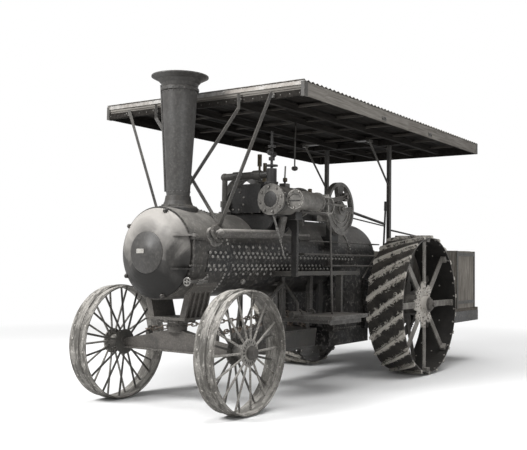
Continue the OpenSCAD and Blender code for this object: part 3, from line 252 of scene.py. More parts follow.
def ageing_group():
    tree = new_group("ageing", {
        "Paint": (0.02, 0.02, 0.02, 1), "Stain": (0.08, 0.07, 0.06, 1), "Bare": (0.25, 0.24, 0.22, 1),
        "Dust": (0.35, 0.32, 0.28, 1), "Scale": 3.0, "Stained": 0.4, "Worn": 0.5, "Dusty": 0.3,
        "Smooth": 0.42}, ["Colour", "Roughness", "Height"])
    shading = Nodes(tree)
    times, plus, spread, blend = shading.times, shading.plus, shading.spread, shading.blend
    feed = tree.nodes.new("NodeGroupInput").outputs
    place = shading.place()
    drawn = shading.add("Mapping", [("Vector", place), ("Scale", (9.0, 9.0, 0.7))]).outputs[0]
    large = shading.noise(place, feed["Scale"], 7.0, 0.62, 0.5)
    fine = shading.noise(place, times(feed["Scale"], 14.0), 5.0, 0.65)
    runs = shading.noise(drawn, feed["Scale"], 4.0, 0.6)
    patch = spread(plus(large, times(feed["Stained"], 0.28)), 0.5, 0.74)
    base = blend(times(patch, 0.8), feed["Paint"], feed["Stain"])
    base = blend(1.0, base, spread(fine, 0.3, 0.7, 0.72, 1.25), "MULTIPLY")
    washed = times(spread(runs, 0.56, 0.72), feed["Stained"])
    base = blend(times(washed, 0.6), base, feed["Stain"])
    round_edge = shading.add("Bevel", [("Radius", 0.006)], samples=4).outputs[0]
    face_way = shading.add("NewGeometry").outputs["Normal"]
    edge = spread(shading.vector("DOT_PRODUCT", round_edge, face_way), 0.999, 0.93)
    edge = times(edge, spread(fine, 0.42, 0.58))
    base = blend(times(edge, feed["Worn"], True), base, feed["Bare"])
    level = spread(shading.parts(face_way)[2], 0.25, 0.95)
    lies = times(level, spread(large, 0.3, 0.6, 0.35, 1.0))
    lies = plus(lies, spread(fine, 0.52, 0.8, 0.0, 0.5))
    lies = times(lies, feed["Dusty"], True)
    rough = plus(feed["Smooth"], times(patch, 0.16))
    rough = plus(rough, times(lies, 0.35))
    tall = plus(times(fine, 0.6), times(large, 0.6))
    give = tree.nodes.new("NodeGroupOutput").inputs
    shading.join(blend(lies, base, feed["Dust"]), give["Colour"])
    shading.join(plus(rough, spread(fine, 0.3, 0.7, -0.05, 0.06), True), give["Roughness"])
    shading.join(plus(tall, times(lies, 0.25)), give["Height"])
    return tree


ageing = ageing_group()


def coated(name, group, inputs, edge, bump, deep, gloss, metallic=0.0):
    material = bpy.data.materials.new(name)
    material.use_nodes = True
    shading = Nodes(material.node_tree)
    skin = shading.add("Group", inputs, node_tree=group)
    soft = shading.add("Bevel", [("Radius", edge)], samples=4)
    lump = shading.add("Bump", [("Strength", bump), ("Distance", deep), ("Height", skin.outputs["Height"]),
                                ("Normal", soft.outputs[0])])
    shader = material.node_tree.nodes["Principled BSDF"]
    for value, label in ((skin.outputs["Colour"], "Base Color"), (skin.outputs["Roughness"], "Roughness"),
                         (metallic, "Metallic"), (gloss, "Specular IOR Level"), (lump.outputs[0], "Normal")):
        shading.join(value, shader.inputs[label])
    return material


def aged(name, paint, stain, bare, dust, scale=5.0, stained=0.5, worn=0.8, dusty=0.3, smooth=0.42,
         metallic=0.0, bump=0.25, deep=0.002, gloss=0.28):
    inputs = [("Paint", (*paint, 1)), ("Stain", (*stain, 1)), ("Bare", (*bare, 1)), ("Dust", (*dust, 1)),
              ("Scale", scale), ("Stained", stained), ("Worn", worn), ("Dusty", dusty), ("Smooth", smooth)]
    return coated(name, ageing, inputs, 0.0025, bump, deep, gloss, metallic)


def dress(material, *names):
    for name in names:
        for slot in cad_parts[name].material_slots:
            slot.link = "OBJECT"
            slot.material = material


# The pale dust on the upward faces of boiler and smokebox is partly dust, partly painted highlight; the
# smokebox's lighter grey is partly painted reflection.
boiler_paint = aged("boiler_paint", (0.0085, 0.0085, 0.009), (0.022, 0.02, 0.018), (0.09, 0.085, 0.078),
                    (0.42, 0.4, 0.37), scale=2.2, stained=0.4, worn=0.4, dusty=0.8, smooth=0.3, bump=0.3,
                    gloss=0.2)
smokebox_paint = aged("smokebox_paint", (0.02, 0.0195, 0.019), (0.055, 0.051, 0.046), (0.12, 0.11, 0.1),
                      (0.34, 0.325, 0.3), scale=2.6, stained=0.6, worn=0.4, dusty=0.8, bump=0.4, gloss=0.22)
# Rivet heads are far lighter than the boiler's black: partly wear, partly painted highlight.
rivet_paint_and_highlight = aged("rivet_paint_and_highlight", (0.17, 0.163, 0.15), (0.09, 0.085, 0.076), (0.6, 0.58, 0.54),
                   (0.36, 0.34, 0.31), scale=6.0, stained=0.25, worn=1.0, dusty=0.4, smooth=0.26, gloss=0.8)
dress(boiler_paint, "boiler_barrel", "firebox", "ash_pan")
dress(smokebox_paint, "smokebox")

strap = Work()
for low, high in ((-22.7, 3.2), (180 - 3.2, 180 + 22.7)):
    strap.bent_plate(BARREL_R - 0.001, BARREL_R + STRAP_THICK, 0.8, LAP_X - 0.001, low, high)
    strap.bent_plate(SMOKEBOX_R - 0.001, SMOKEBOX_R + STRAP_THICK, LAP_X + 0.001, 3.58, low, high)
for x, wide in ((3.205, 0.05), (0.87, 0.06)):
    strap.bent_plate(BARREL_R - 0.001, BARREL_R + BAND_THICK, x, x + wide, -70, 250, 96)
strap.put("shell_straps", boiler_paint)

rows = Work()
# degrees up the side, first and last rivet, pitch, stagger, height of what the heads stand on
for degrees, x0, x1, pitch, stagger, lift in (
        (10, 2.3, 3.2, 0.12, 0, 0), (1.6, 0.85, 3.56, 0.076, 0, STRAP_THICK),
        (-3.5, 0.85, 3.56, 0.076, 0.038, STRAP_THICK), (-14.5, 0.85, 3.56, 0.076, 0, STRAP_THICK),
        (-19.5, 0.85, 3.56, 0.076, 0.038, STRAP_THICK), (-27.3, 0.85, 3.2, 0.12, 0, 0)):
    count = round((x1 - x0) / pitch)
    for i in range(count + 1):
        x = x0 + (x1 - x0) * i / count + stagger
        r = (SMOKEBOX_R if x > LAP_X + 0.001 else BARREL_R) + lift
        if x < 3.57 and not 3.2 < x < LAP_X + 0.007:
            for a in (degrees, 180 - degrees):
                rows.rivet(*on_shell(x, a, r), 0.015, 0.0135)
for x, r in ((3.278, SMOKEBOX_R), (0.9, BARREL_R + BAND_THICK)):
    for i in range(64):
        a = -66 + 312 * i / 63
        if not (-24 < a < 11 or 169 < a < 204):
            rows.rivet(*on_shell(x, a, r), 0.0125, 0.01)
for x, degrees in ((0.907, -42), (2.929, -38)):
    rows.nut(*on_shell(x, degrees, BARREL_R), 0.026, 0.03, stud=False)
rows.put("shell_rivets", rivet_paint_and_highlight)

stays = Work()
STAY_END = [(0.0085, 0), (0.0085, 0.004), (0.006, 0.0052)]
BACK_X = 0.2905
for side in (1, -1):
    for i in range(8):
        for k in range(7):
            foot = at(0.36 + 0.122 * i, side * (BARREL_R - 0.0005), 0.65 + 0.108 * k)
            stays.turned(foot, side * LEFT, STAY_END, 8)
    for i in range(22):
        stays.rivet(at(0.32 + 0.0445 * i, side * BARREL_R, 0.587), side * LEFT, 0.01, 0.006)
for y in [-0.34 + 0.085 * i for i in range(9)]:
    for z in [0.63 + 0.105 * k for k in range(8)]:
        if not (abs(y) < 0.27 and 0.9 < z < 1.27):
            stays.turned(at(BACK_X, y, z), -AHEAD, STAY_END, 8)
for i in range(40):
    out = round_x(math.radians(-4 + 188 * i / 39))
    stays.rivet(at(BACK_X, 0, BOILER_Z) + 0.38 * out, -AHEAD, 0.011, 0.007)
stays.put("firebox_stays", smokebox_paint)

# Smokebox door
# Pressed steel dish with painted light above and painted shade below, held to the smokebox's front ring
# by four dogs and hung at its left on two riveted straps, with a plain disc and a small plate on its middle.
DOOR_X = 3.785
DISH_R = 0.402
DISH_DEEP = 0.129


def dish(r):
    return DOOR_X + 0.019 + DISH_DEEP * (1 - (r / DISH_R) ** 3.2)


def skin_of(material):
    shading = Nodes(material.node_tree)
    skin = next(n for n in material.node_tree.nodes if n.type == "GROUP")
    return shading, skin.outputs["Colour"]


def repaint(material, colour):
    tree = material.node_tree
    tree.links.new(colour, tree.nodes["Principled BSDF"].inputs["Base Color"])
    return material


def paint_light_and_shade(material):
    shading, colour = skin_of(material)
    spread = shading.spread
    uneven = spread(shading.noise(shading.place(), 3.0, 5.0, distortion=1.0), 0.3, 0.7, -0.16, 0.16)
    height = shading.plus(shading.parts(shading.place())[2], uneven)
    # Painted light makes the dish lighter towards its top; painted shade makes it near black towards its
    # bottom.
    colour = shading.blend(spread(height, 1.42, 1.74, 0.0, 0.85), colour, (0.32, 0.305, 0.285, 1))
    colour = shading.blend(spread(height, 1.5, 1.14, 0.0, 0.93), colour, (0.008, 0.0076, 0.007, 1))
    return repaint(material, colour)


door_grey = paint_light_and_shade(aged("door_grey", (0.05, 0.048, 0.046), (0.026, 0.024, 0.022), (0.13, 0.12, 0.11),
                       (0.17, 0.16, 0.145), scale=2.0, stained=0.42, worn=0.5, bump=0.45, gloss=0.16))
stack_black = aged("stack_black", (0.046, 0.0448, 0.043), (0.028, 0.026, 0.024), (0.15, 0.141, 0.13),
                   (0.2, 0.188, 0.17), scale=3.2, stained=0.6, worn=0.6, smooth=0.36, bump=0.3, gloss=0.3)
plate_blank = aged("plate_blank", (0.3, 0.29, 0.27), (0.18, 0.17, 0.15), (0.5, 0.48, 0.44),
                   (0.4, 0.38, 0.34), scale=9.0, stained=0.3, worn=0.7, dusty=0.2, smooth=0.45)
dress(door_grey, "smokebox_door")
rim = Work()
rim.turned(at(DOOR_X, 0, BOILER_Z), AHEAD,
           [(0.401, 0.006), (0.4005, 0.02), (0.392, 0.0265), (0.384, 0.03), (0.383, 0.006)], 96)
rim.put("door_rim", boiler_paint, "smokebox_door")
disc = Work()
disc.turned(at(dish(0) - 0.012, 0, BOILER_Z + 0.005), AHEAD,
            [(0.188, -0.008), (0.188, 0.005), (0.18, 0.0085), (0.075, 0.0145), (0.07, 0.019),
             (0.02, 0.0195)], 48)
fittings = Work()
for y, z in ((-0.31, 1.642), (-0.347, 1.176), (0.12, 1.765), (0.1, 1.03)):
    dog = at(DOOR_X + 0.02, 0, BOILER_Z) + 0.392 * Vector((0, y, z - BOILER_Z)).normalized()
    fittings.block(dog - Vector((0.004, 0.02, 0.02)), dog + Vector((0.02, 0.02, 0.02)), 0.004)
    fittings.nut(dog + 0.02 * AHEAD, AHEAD, 0.017, 0.016)
for z in (0.158, -0.137):
    for y in (0.3, 0.336, 0.372, 0.408):
        spot = at(dish(math.hypot(y, z)) + 0.004, y, BOILER_Z + z)
        fittings.rivet(spot, Vector((1, 0.6, 0)).normalized(), 0.007)
fittings.put("door_fittings", smokebox_paint, "smokebox_door")
plate = Work()
plate.block(at(dish(0.06) - 0.004, -0.1, 1.392), at(dish(0.06) + 0.013, -0.015, 1.432), 0.003)
plate.put("blank_plate", plate_blank, "smokebox_door")
disc.put("door_centre", stack_black, "smokebox_door")

# Smokestack and steam dome
# Cast foot bolted to the smokebox, tapering sheet stack with a riveted seam, rolled bell mouth;
# the dome is a flanged drum with a screwed safety valve and whistle of brass on its top.
UP = Vector((0, 0, 1))
STACK_X = 3.51
FOOT_TOP = 1.927
FOOT_BOLTS_R = 0.166
DOME = at(1.9, -0.13, 0)


def round_z(a):
    return Vector((math.cos(a), math.sin(a), 0))


cast_black = aged("cast_black", (0.016, 0.016, 0.016), (0.04, 0.036, 0.032), (0.12, 0.11, 0.1),
                  (0.13, 0.12, 0.1), worn=0.7, dusty=0.25, bump=0.55, deep=0.003)
brass = aged("brass", (0.11, 0.09, 0.058), (0.045, 0.037, 0.027), (0.3, 0.255, 0.17), (0.15, 0.138, 0.118),
             scale=8.0, stained=0.8, worn=0.6, metallic=0.6)
dress(stack_black, "smokestack")
dress(cast_black, "stack_base", "steam_dome")
dress(brass, "safety_valve")
stack = Work()
for a in fan(12, 12):
    y = FOOT_BOLTS_R * math.sin(a)
    shell_top = BOILER_Z + math.sqrt(SMOKEBOX_R ** 2 - y * y)
    z = max(shell_top + 0.012, FOOT_TOP - 0.112)
    stack.nut(at(STACK_X + FOOT_BOLTS_R * math.cos(a), y, z), UP, 0.013, 0.013)
seam_way = round_z(math.radians(200))
for i in range(30):
    t = i / 29
    spot = at(STACK_X, 0, FOOT_TOP + 0.02 + 0.93 * t)
    stack.rivet(spot + (0.1085 + 0.056 * t) * seam_way, seam_way, 0.009, 0.006)
for z, r in ((1.965, 0.1105), (2.885, 0.1635), (2.91, 0.177)):
    for a in fan(20):
        stack.rivet(at(STACK_X, 0, z) + r * round_z(a), round_z(a), 0.0075, 0.005)
stack.put("stack_rivets", stack_black)
dome = Work()
for a in fan(16):
    dome.nut(DOME + 1.824 * UP + 0.193 * round_z(a), UP, 0.014, 0.013)
for a in fan(14):
    dome.rivet(DOME + 2.08 * UP + 0.165 * round_z(a), round_z(a), 0.009)
dome.put("dome_fasteners", cast_black)

# Engine on the boiler's top
# Two cast cylinders on a saddle, turned steel guides, rods and shaft, greased and dark with oil.
# The covers are held by studs and nuts, bright where spanners have worn them.
CRANK_X, CRANK_Z = 1.4, 1.925
OUTER_Y, INNER_Y, CHEST_Y = 0.6, 0.165, 0.832
COVER_X = 2.87
CHEST_X, CHEST_Z = 2.806, CRANK_Z - 0.005
engine_iron = aged("engine_iron", (0.026, 0.025, 0.0245), (0.012, 0.0115, 0.011), (0.17, 0.16, 0.145),
                   (0.14, 0.128, 0.11), scale=4.5, stained=0.55, dusty=0.25, smooth=0.36, bump=0.5,
                   deep=0.0025)
oily_steel = aged("oily_steel", (0.2, 0.19, 0.18), (0.04, 0.036, 0.032), (0.5, 0.48, 0.45),
                  (0.16, 0.14, 0.12), scale=6.0, stained=0.75, dusty=0.25, smooth=0.3, metallic=0.75)
cylinder_grey = aged("cylinder_grey", (0.15, 0.143, 0.132), (0.03, 0.028, 0.025), (0.36, 0.345, 0.32),
                     (0.2, 0.187, 0.165), scale=4.5, dusty=0.35, smooth=0.4, bump=0.5, deep=0.0025)
disc_iron = aged("disc_iron", (0.14, 0.134, 0.125), (0.03, 0.028, 0.025), (0.42, 0.4, 0.37),
                 (0.16, 0.15, 0.13), worn=1.0, smooth=0.36, bump=0.4)
guide_steel = aged("guide_steel", (0.34, 0.33, 0.31), (0.06, 0.055, 0.048), (0.6, 0.58, 0.54),
                   (0.2, 0.18, 0.155), scale=6.0, stained=0.55, dusty=0.2, smooth=0.3, metallic=0.6)
dress(engine_iron, "cylinder_saddle", "inner_cylinder", "crank_bearings", "governor", "engine_bracket")
dress(cylinder_grey, "outer_cylinder", "valve_chest")
dress(disc_iron, "crank_disc", "flywheel")
dress(guide_steel, "guide_bars")
dress(oily_steel, "crossheads", "connecting_rods", "crankshaft")
nuts = Work()
# centre of the cover, its bolt circle, number and size of the studs, which way they point, first angle
for x, y, z, r, count, size, way, first in (
        (COVER_X, OUTER_Y, CRANK_Z, 0.122, 8, 0.0135, 1, 12),
        (COVER_X - 0.05, INNER_Y, CRANK_Z, 0.094, 8, 0.011, 1, 20),
        (CHEST_X, CHEST_Y, CHEST_Z, 0.079, 7, 0.0105, 1, 8),
        (2.35, OUTER_Y, CRANK_Z, 0.122, 8, 0.0135, -1, 12),
        (2.394, CHEST_Y, CHEST_Z, 0.079, 7, 0.0105, -1, 8)):
    for i, a in enumerate(fan(count, first)):
        nuts.nut(at(x, y, z) + r * round_x(a), way * AHEAD, size, 0.9 * size, turn=0.4 * i)
for x in (2.45, 2.56, 2.68, 2.77):
    nuts.nut(at(x, 0.32, 1.79), Vector((0, 0.3, 1)).normalized(), 0.014, 0.013)
    nuts.nut(at(x, 0.585, 1.795), UP, 0.012, 0.012)
for y in (0.44, -0.44):
    for x in (CRANK_X - 0.05, CRANK_X + 0.05):
        nuts.nut(at(x, y, CRANK_Z + 0.07), UP, 0.017, 0.02)
nuts.nut(at(CRANK_X, 0.619, CRANK_Z + 0.127), LEFT, 0.022, 0.02, stud=False)
nuts.nut(at(CRANK_X, 0.569, CRANK_Z), LEFT, 0.03, 0.02, stud=False)
for x in (2.365, 2.84):
    nuts.nut(at(x, 0.74, CRANK_Z + 0.05), Vector((0, 0.6, 0.8)), 0.01, 0.011)
nuts.put("engine_nuts", oily_steel)
oilers = Work()
CUP = [(0.007, 0), (0.007, 0.016), (0.02, 0.02), (0.022, 0.026), (0.022, 0.052), (0.016, 0.058),
       (0.006, 0.06)]
for x, y, z in ((CRANK_X, 0.44, 0.07), (CRANK_X, -0.4, 0.07), (2.15, OUTER_Y, 0.1), (2.62, OUTER_Y, 0.169)):
    oilers.turned(at(x, y, CRANK_Z + z - 0.002), UP, CUP, 20)
oilers.put("oil_cups", brass)
bands = Work()
for x, y, r in ((2.42, OUTER_Y, 0.1355), (2.8, OUTER_Y, 0.1355), (2.5, INNER_Y, 0.1125)):
    section = ((r, 0), (r + 0.004, 0), (r + 0.004, 0.022), (r, 0.022))
    bands.hoop([bands.ring_of(at(x + dx, y, CRANK_Z), LEFT, UP, wide, 48) for wide, dx in section])
bands.put("lagging_bands", engine_iron)
lines = Work()
lines.turned(at(COVER_X - 0.002, OUTER_Y, CRANK_Z), AHEAD,
             [(0.076, 0), (0.076, 0.0035), (0.07, 0.005), (0.01, 0.0052)], 40)
chest = at(CHEST_X, CHEST_Y, CHEST_Z)
lines.block(chest + Vector((-0.002, -0.062, -0.017)), chest + Vector((0.006, 0.062, -0.006)), 0.001)
arc = [math.radians(14 + 152 * i / 16) for i in range(17)]
lines.tube([chest + Vector((0.0005, 0.062 * math.cos(a), 0.05208 * math.sin(a))) for a in arc], 0.0045, 6)
lines.put("cover_lines", engine_iron)
rims = Work()
rims.torus(at(COVER_X - 0.001, OUTER_Y, CRANK_Z), LEFT, UP, 0.079, 0.0035, 48, 6)
rims.torus(at(CHEST_X - 0.001, CHEST_Y, CHEST_Z), LEFT, UP, 0.09, 0.0035, 48, 6)
rims.put("cover_rims", guide_steel)

# Steam and exhaust pipes, rails and running board
# Screwed wrought pipe with cast elbows, rails that end in flanges on the shell, plate boards on angle
# iron and a riveted tank below, all in the boiler's black, worn where hands and boots touch.
RAIL_FLANGES = ((2.25, 1.413, 0.03), (0.7, 1.413, 0.03), (0.747, 1.297, 0.026), (1.98, 1.555, 0.022),
                (0.35, 1.555, 0.022))
ELBOW = at(3.46, 0.36, 1.548)
ELBOW_WAY = Vector((0, 0.927, 0.375))
ELBOW_SIDE = Vector((0, -0.375, 0.927))
pipe_black = aged("pipe_black", (0.03, 0.029, 0.028), (0.06, 0.056, 0.05), (0.2, 0.19, 0.17),
                  (0.18, 0.165, 0.15), dusty=0.28, smooth=0.4, bump=0.3)
rail_iron = aged("rail_iron", (0.075, 0.072, 0.068), (0.035, 0.032, 0.029), (0.26, 0.25, 0.23),
                 (0.22, 0.2, 0.18), scale=6.0, worn=0.9, metallic=0.25)
pipe_dusty = aged("pipe_dusty", (0.1, 0.096, 0.09), (0.05, 0.046, 0.042), (0.3, 0.28, 0.26),
                  (0.42, 0.4, 0.37), scale=4.0, dusty=0.75, smooth=0.45, bump=0.4)
# The drain valve's light colour and bright edges are partly wear, partly painted highlight.
valve_iron = aged("valve_iron", (0.1, 0.096, 0.09), (0.03, 0.028, 0.025), (0.55, 0.53, 0.5),
                  (0.2, 0.187, 0.165), scale=9.0, worn=1.0, smooth=0.3, metallic=0.3, gloss=0.6)
dress(pipe_black, "steam_pipe", "feed_pipe", "belly_tank", "running_board", "injector")
dress(pipe_dusty, "exhaust_pipe")
dress(rail_iron, "guard_rail", "side_step")
dress(valve_iron, "drain_valve")
ends = Work()
for x, z, r in RAIL_FLANGES:
    rise = max(z - BOILER_Z, 0)
    y = math.sqrt(BARREL_R ** 2 - rise ** 2) - 0.004
    ends.turned(at(x, y, z), LEFT, [(r, 0), (r, 0.012), (0.6 * r, 0.018)], 16)
ends.turned(ELBOW + 0.068 * ELBOW_WAY, ELBOW_WAY, [(0.089, 0), (0.089, 0.012), (0.06, 0.016)], 32)
for a in fan(6, 15):
    spot = ELBOW + 0.08 * ELBOW_WAY + 0.072 * (math.cos(a) * AHEAD + math.sin(a) * ELBOW_SIDE)
    ends.nut(spot, ELBOW_WAY, 0.011, 0.011)
ends.tube([at(2.42, 0.655, 1.79), at(2.425, 0.68, 1.76), at(2.425, 0.69, 1.69)], 0.007)
ends.put("pipe_ends", pipe_black)
drain = Work()
run = [at(2.85, 0.615, 1.795), at(2.79, 0.628, 1.64), at(2.74, 0.635, 1.53), at(2.675, 0.64, 1.36)]
for start, end, pipe_r, union_r in zip(run, run[1:], (0.011, 0.009, 0.006), (0.017, 0.017, 0.014)):
    drain.tube([start, end], pipe_r)
    drain.nut(start + Vector((0.005, 0, 0.014)), Vector((-0.37, 0.07, -0.93)), union_r, 0.028, stud=False)
drain.put("cylinder_drain", valve_iron)
boards = Work()
for x in (1.2, 1.39, 1.58, 1.78, 1.98, 2.18, 2.38):
    for y in (0.43, 0.64):
        boards.rivet(at(x, y, 1.24), UP, 0.009, 0.005)
    boards.rivet(at(x, 0.67, 1.216), LEFT, 0.009, 0.005)
for x in (1.62, 1.7, 2.2, 2.27):
    boards.rivet(at(x, 0.93, 0.802), UP, 0.009, 0.005)
    boards.rivet(at(x, 0.96, 0.784), LEFT, 0.009, 0.005)
for side, count in ((-1, 5), (1, 4)):
    for i in range(count):
        for x in (1.485, 2.275):
            boards.rivet(at(x, side * 0.31, 0.42 + 0.04 * i), side * LEFT, 0.008)
boards.put("board_rivets", pipe_black)
tank_rows = Work()
for x, way in ((1.4795, -AHEAD), (2.2805, AHEAD)):
    for i in range(16):
        tank_rows.rivet(at(x, -0.27 + 0.036 * i, 0.592), way, 0.008)
    for i in range(3, 13):
        tank_rows.rivet(at(x, -0.27 + 0.036 * i, 0.395), way, 0.008)
for i in range(18):
    for side in (1, -1):
        tank_rows.rivet(at(1.5 + 0.0447 * i, side * 0.3, 0.592), side * LEFT, 0.008)
tank_rows.put("tank_rivets", pipe_black)

# Platform, fuel bunker and drawbar
# Planked oak on iron sills, grey with weather; the bunker is upright boards held by iron corner straps.
# No board stands quite flush with the next, and their top ends are a little uneven.
BUNKER_BACK, BUNKER_FRONT, BUNKER_HALF = -1.72, -1.05, 0.95
BUNKER_FOOT, BUNKER_TOP = 0.74, 1.512
BOARD_WIDE = 0.1357
OPENING_DEEP = 0.375


def grain_group():
    tree = new_group("grain", {"Light": (0.3, 0.26, 0.21, 1), "Dark": (0.1, 0.08, 0.065, 1),
                               "Along": (1.0, 1.0, 1.0), "Dirt": 0.4}, ["Colour", "Roughness", "Height"])
    shading = Nodes(tree)
    plus, spread, blend, vector = shading.plus, shading.spread, shading.blend, shading.vector
    feed = tree.nodes.new("NodeGroupInput").outputs
    place = shading.place()
    quarter = vector("FLOOR", vector("MULTIPLY", place, (0.01, 0.01, 0.01)))
    tone = shading.add("TexWhiteNoise", [("Vector", quarter)]).outputs["Value"]
    drawn = vector("ADD", vector("MULTIPLY", place, feed["Along"]), quarter)
    fibre = shading.noise(drawn, 2.6, 8.0, 0.66, 0.35)
    dirt = shading.noise(place, 2.4, 6.0, 0.6)
    light = plus(spread(fibre, 0.34, 0.68), spread(tone, 0, 1, -0.22, 0.22), True)
    wood = blend(light, feed["Dark"], feed["Light"])
    soil = shading.times(spread(dirt, 0.45, 0.7), feed["Dirt"])
    give = tree.nodes.new("NodeGroupOutput").inputs
    shading.join(blend(soil, wood, feed["Dark"]), give["Colour"])
    shading.join(spread(fibre, 0.3, 0.7, 0.92, 0.72), give["Roughness"])
    shading.join(plus(fibre, shading.times(dirt, 0.4)), give["Height"])
    return tree


grain = grain_group()


def timber(name, light, dark, along, dirt=0.4, gloss=0.25):
    inputs = [("Light", (*light, 1)), ("Dark", (*dark, 1)), ("Along", along), ("Dirt", dirt)]
    return coated(name, grain, inputs, 0.003, 0.5, 0.002, gloss)


upright_oak = timber("upright_oak", (0.27, 0.25, 0.222), (0.11, 0.1, 0.087), (16, 16, 1.4))
deck_oak = timber("deck_oak", (0.13, 0.115, 0.098), (0.045, 0.038, 0.031), (14, 1.3, 14), 0.6)
dress(boiler_paint, "platform_frame", "side_plates", "reverse_lever")
dress(upright_oak, "fuel_bunker")
dress(deck_oak, "deck")
chance = random.Random(7)
boards = Work()
for i in range(14):
    y = -BUNKER_HALF + 0.002 + i * BOARD_WIDE
    at_opening = abs(y + BOARD_WIDE / 2) < 0.29
    front_top = BUNKER_TOP - (OPENING_DEEP if at_opening else 0)
    for x, top in ((BUNKER_BACK, BUNKER_TOP), (BUNKER_FRONT - 0.03, front_top)):
        jut = chance.uniform(-0.0015, 0.0015)
        top -= chance.uniform(0, 0.006)
        boards.block(at(x + 0.0015 + jut, y + 0.001, BUNKER_FOOT + 0.001),
                     at(x + 0.0285 + jut, y + BOARD_WIDE - 0.003, top), 0.003)
for i in range(5):
    x = BUNKER_BACK + 0.031 + i * 0.1216
    for side in (1, -1):
        jut = chance.uniform(-0.0015, 0.0015)
        top = BUNKER_TOP - chance.uniform(0, 0.006)
        boards.block(at(x + 0.001, side * (BUNKER_HALF - 0.0015 + jut), BUNKER_FOOT + 0.001),
                     at(x + 0.1186, side * (BUNKER_HALF - 0.028), top), 0.003)
boards.block(at(BUNKER_BACK + 0.03, -BUNKER_HALF + 0.03, BUNKER_FOOT),
             at(BUNKER_FRONT - 0.03, BUNKER_HALF - 0.03, BUNKER_FOOT + 0.03), 0.002)
made = boards.put("bunker_boards", upright_oak)
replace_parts(made, "fuel_bunker")
straps = Work()
for z in (0.8, 1.44):
    for side in (1, -1):
        straps.block(at(BUNKER_BACK - 0.004, side * (BUNKER_HALF - 0.002), z),
                     at(BUNKER_FRONT + 0.004, side * (BUNKER_HALF + 0.004), z + 0.045), 0.001)
        for i in range(7):
            foot = at(BUNKER_BACK + 0.03 + 0.1 * i, side * (BUNKER_HALF + 0.004), z + 0.022)
            straps.rivet(foot, side * LEFT, 0.009, 0.005)
    straps.block(at(BUNKER_BACK - 0.004, -BUNKER_HALF, z),
                 at(BUNKER_BACK + 0.001, BUNKER_HALF, z + 0.045), 0.001)
    for i in range(14):
        foot = at(BUNKER_BACK - 0.004, -BUNKER_HALF + 0.07 + BOARD_WIDE * i, z + 0.022)
        straps.rivet(foot, -AHEAD, 0.009, 0.005)
for side in (1, -1):
    for x in (BUNKER_BACK - 0.005, BUNKER_FRONT - 0.04):
        straps.block(at(x, side * (BUNKER_HALF - 0.002), BUNKER_FOOT),
                     at(x + 0.045, side * (BUNKER_HALF + 0.005), BUNKER_TOP - 0.004), 0.001)
straps.put("bunker_straps", pipe_black)
planks = Work()
# number of planks, rear edge of the first, pitch, front edge, half the deck's width there
for count, first, pitch, edge, half in ((7, -1.86, 0.13, 0.1285, 0.949), (9, -0.95, 0.13736, 0.1358, 0.404)):
    for i in range(count):
        x = first + pitch * i
        top = 0.7395 + chance.uniform(-0.001, 0)
        planks.block(at(x + 0.0015, -half, 0.701), at(x + edge, half, top), 0.003)
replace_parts(planks.put("deck_planks", deck_oak), "deck")

# Canopy
# Boarded frame with a two-step fascia in front, light purlins and battens underneath, and a roof of
# corrugated galvanised sheet nailed across it; braces of square bar and two iron posts carry it.
ROOF_BACK, ROOF_FRONT, ROOF_HALF = -1.125, 3.24, 1.196
ROOF_TOP, ROOF_LOW = 2.914, 2.786
LATH_Z, BOARD_Z = 2.866, 2.898
JOINTS = (0.4625, 1.6735)
# The canopy's boards and frame are near black: painted shade under the roof.
canopy_oak_painted_shade = timber("canopy_oak_painted_shade", (0.026, 0.0235, 0.021), (0.01, 0.009, 0.008), (1.2, 14, 14), gloss=0.06)
fascia_oak = timber("fascia_oak", (0.21, 0.198, 0.18), (0.095, 0.087, 0.077), (1.2, 1.2, 22), 0.45)
batten_oak = timber("batten_oak", (0.08, 0.073, 0.065), (0.036, 0.032, 0.028), (14, 1.2, 14), 0.35, 0.1)
roof_zinc = aged("roof_zinc", (0.33, 0.33, 0.325), (0.17, 0.15, 0.13), (0.5, 0.5, 0.49), (0.42, 0.4, 0.37),
                 scale=1.6, stained=0.6, worn=0.4, dusty=0.25, metallic=0.45)
dress(canopy_oak_painted_shade, "canopy_frame")
dress(roof_zinc, "canopy_roof")
dress(pipe_black, "rear_posts", "front_braces")
lining = Work()
for x in (2.5, 1.75, 1.07, 0.36, -0.2, -0.8):
    for side in (1, -1):
        for y in (0.025, 0.69):
            lining.block(at(x, side * y, LATH_Z), at(x + 0.02, side * (y + 0.235), LATH_Z + 0.012), 0.002)
    lining.block(at(x, -1.17, LATH_Z - 0.014), at(x + 0.02, 1.17, LATH_Z), 0.002)
lining.put("roof_battens", batten_oak)
boards = Work()
for i in range(16):
    y = -1.172 + 0.15 * i
    boards.block(at(ROOF_BACK + 0.024, y + 0.001, BOARD_Z),
                 at(ROOF_FRONT - 0.024, min(y + 0.148, 1.172), BOARD_Z + 0.014), 0.002)
boards.put("roof_boards", canopy_oak_painted_shade)
fascia = Work()
for z0, z1, step, cut in ((ROOF_LOW, ROOF_TOP - 0.056, 0.0015, 0.001),
                          (ROOF_TOP - 0.054, ROOF_TOP - 0.001, 0.008, 0.002)):
    fascia.block(at(ROOF_FRONT - 0.01, -ROOF_HALF - 0.001, z0),
                 at(ROOF_FRONT + step, ROOF_HALF + 0.001, z1), cut)
for side in (1, -1):
    for x0, x1 in ((ROOF_BACK - 0.001, JOINTS[0]), (JOINTS[0] + 0.003, JOINTS[1]),
                   (JOINTS[1] + 0.003, ROOF_FRONT)):
        fascia.block(at(x0, side * (ROOF_HALF - 0.01), ROOF_LOW),
                     at(x1, side * (ROOF_HALF + 0.002), ROOF_TOP - 0.001), 0.001)
fascia.put("fascia_boards", fascia_oak)
trim = Work()
